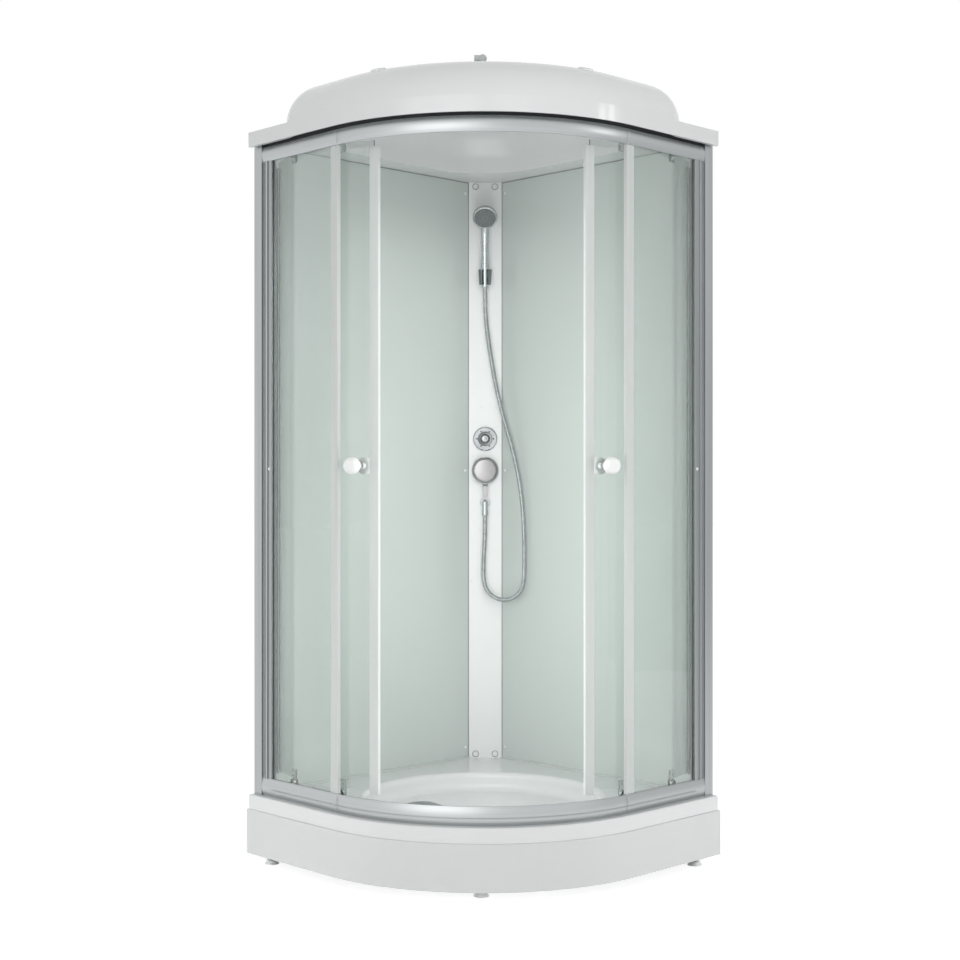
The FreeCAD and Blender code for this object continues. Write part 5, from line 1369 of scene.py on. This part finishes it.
@dataclass
class Walls:
    """Joints of the two back walls: beads on the tray, strips at the roof and the column, and grey rims of
    painted shade round the caps.
    """

    bead_radius: float = 5.5
    strip_radius: float = 1.5
    strip_drop: float = 1.0
    # Grey rims round the column's caps, painted shade for the shadow at their edges.
    cap_radius: float = 8.5
    rim_width: float = 1.3
    rim_height: float = 0.9
    rim_edge: float = 0.4
    rim_sink: float = 0.1
    rim_sides: int = 24

    def foot_line(self, side: str, level: float) -> list[Vector]:
        """Give the line along a back panel's face at one level.

        Args:
            side: left or right.
            level: Height of the line in metres.

        Returns:
            Its end at the column and its end at the post.
        """
        outward, along = side_axes(side)
        inward = -outward
        spots = [vert.co for vert in frame["nodes"][f"{side}_back_panel"].data.vertices]
        face = max(spot.dot(inward) for spot in spots)
        near = min(spot.dot(along) for spot in spots)
        far = max(spot.dot(along) for spot in spots)
        return [inward * face + along * reach + Vector((0.0, 0.0, level)) for reach in (near, far)]

    def bead(self, side: str) -> bpy.types.Object:
        """Make the white bead in the corner between a side's back panel and the tray."""
        line = self.foot_line(side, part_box("tray_shell")[1].z)
        return settle_tubes(f"{side}_wall_bead", [(line, self.bead_radius)], SEAL)

    def strips(self, side: str) -> bpy.types.Object:
        """Make the thin grey strips where a side's back panel meets the roof and the column."""
        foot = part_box("tray_shell")[1].z
        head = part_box(f"{side}_back_panel")[1].z - self.strip_drop * MM
        level = self.foot_line(side, head)
        upright = [self.foot_line(side, foot)[0], level[0]]
        lines = [(line, self.strip_radius) for line in (level, upright)]
        return settle_tubes(f"{side}_panel_strips", lines, GREY)

    def cap_shade_rims(self) -> bpy.types.Object:
        """Make grey rims round the four screw caps of the column, painted shade for the shadow round their
        edges.
        """
        low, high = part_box("column_screw_caps")
        reach = self.cap_radius * MM
        inner, outer = self.cap_radius, self.cap_radius + self.rim_width
        profile = [
            (inner, -self.rim_sink), (inner, self.rim_height), (outer - self.rim_edge, self.rim_height),
            (outer, self.rim_edge), (outer, -self.rim_sink),
        ]
        forwards = Matrix.Rotation(QUARTER_TURN, 4, "X")
        places = [
            Matrix.Translation((across, high.y, height)) @ forwards
            for across in (low.x + reach, high.x - reach)
            for height in (low.z + reach, high.z - reach)
        ]
        mesh = lathe_mesh("column_cap_shade_rims", profile, places, self.rim_sides)
        return settle("column_cap_shade_rims", mesh, GREY_GASKET_AND_SHADE, Body.CABIN)

    def build(self) -> list[bpy.types.Object]:
        """Make the beads, the strips and the cap rims."""
        pieces = [self.cap_shade_rims()]
        for side in SIDES:
            pieces.append(self.bead(side))
            pieces.append(self.strips(side))
        return pieces


@dataclass
class Roof:
    """Nozzles of the overhead rose, and the two low studs on the dome's shoulders."""

    nozzle_radius: float = 1.8
    nozzle_height: float = 2.0
    nozzle_curve: Profile = ((1.0, -0.15), (0.85, 0.7), (0.5, 1.0), (0.0, 0.6))
    nozzle_sides: int = 8
    nozzle_count: tuple[int, int] = (5, 14)
    nozzle_rings: Pair = (12.0, 12.5)
    stud_reach: float = 0.262
    stud_radius: float = 21.0
    stud_height: float = 4.5
    stud_sink: float = 4.0
    # A stud from its middle to its side, in shares of its radius and height.
    stud_curve: Profile = ((0.0, 1.0), (0.5, 0.97), (0.78, 0.8), (0.94, 0.4))
    stud_sides: int = 40
    search_steps: int = 60
    search_step: float = 10.0
    search_height: float = 1.0

    def shoulder(self, across: float) -> Matrix:
        """Find the highest point of the dome's front shoulder, as the camera sees it.

        Args:
            across: Distance from the middle along x in metres.

        Returns:
            Place on the roof with its z axis square to the skin.
        """
        eye = Vector(Studio.camera_at)
        above = CAD_BOX[1].z + self.search_height
        shell = frame["nodes"]["roof_shell"]
        spots = []
        for step in range(self.search_steps):
            start = Vector((across, CAD_BOX[0].y + step * self.search_step * MM, above))
            hit, spot, normal, _ = shell.ray_cast(start, Vector((0.0, 0.0, -1.0)))
            if hit:
                spots.append((spot, normal))
        spot, normal = max(spots, key=lambda found: (found[0].z - eye.z) / (found[0].y - eye.y))
        return Matrix.Translation(spot) @ normal.to_track_quat("Z", "Y").to_matrix().to_4x4()

    def studs(self) -> bpy.types.Object:
        """Make the two low round studs on the dome's shoulders."""
        crown = scaled(self.stud_curve, self.stud_radius, self.stud_height)
        places = [self.shoulder(across) for across in (-self.stud_reach, self.stud_reach)]
        foot = (self.stud_radius, -self.stud_sink)
        mesh = lathe_mesh("roof_studs", [*crown, foot], places, self.stud_sides)
        return settle("roof_studs", mesh, ACRYLIC, Body.CABIN)

    def rose_nozzles(self) -> bpy.types.Object:
        """Make the rings of nozzles under the overhead rose."""
        profile = scaled(self.nozzle_curve, self.nozzle_radius, self.nozzle_height)
        low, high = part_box("overhead_rose")
        middle = Vector(((low.x + high.x) / 2.0, (low.y + high.y) / 2.0, low.z))
        place = Matrix.Translation(middle) @ Matrix.Rotation(math.pi, 4, "X")
        count, sizes = self.nozzle_count, self.nozzle_rings
        mesh = RINGS.ring("rose_nozzles", profile, self.nozzle_sides, count, sizes, place)
        return settle("rose_nozzles", mesh, SPRAY_RUBBER, Body.CABIN)

    def build(self) -> list[bpy.types.Object]:
        """Make the nozzles and the studs."""
        return [self.rose_nozzles(), self.studs()]


def main() -> None:
    """Build the studio and the pieces in order, and report each of them."""
    logging.basicConfig(level=logging.INFO, format="%(name)s: %(message)s")
    for assembly in (Studio(), ShowerHose(), Handset(), Mixer(), Enclosure(), Walls(), Roof()):
        for piece in assembly.build():
            LOG.info("%s: %d faces", piece.name, len(piece.data.polygons))
    LOG.info("%d nodes dressed", WARDROBE.dress_frame())


if __name__ == "__main__":
    main()
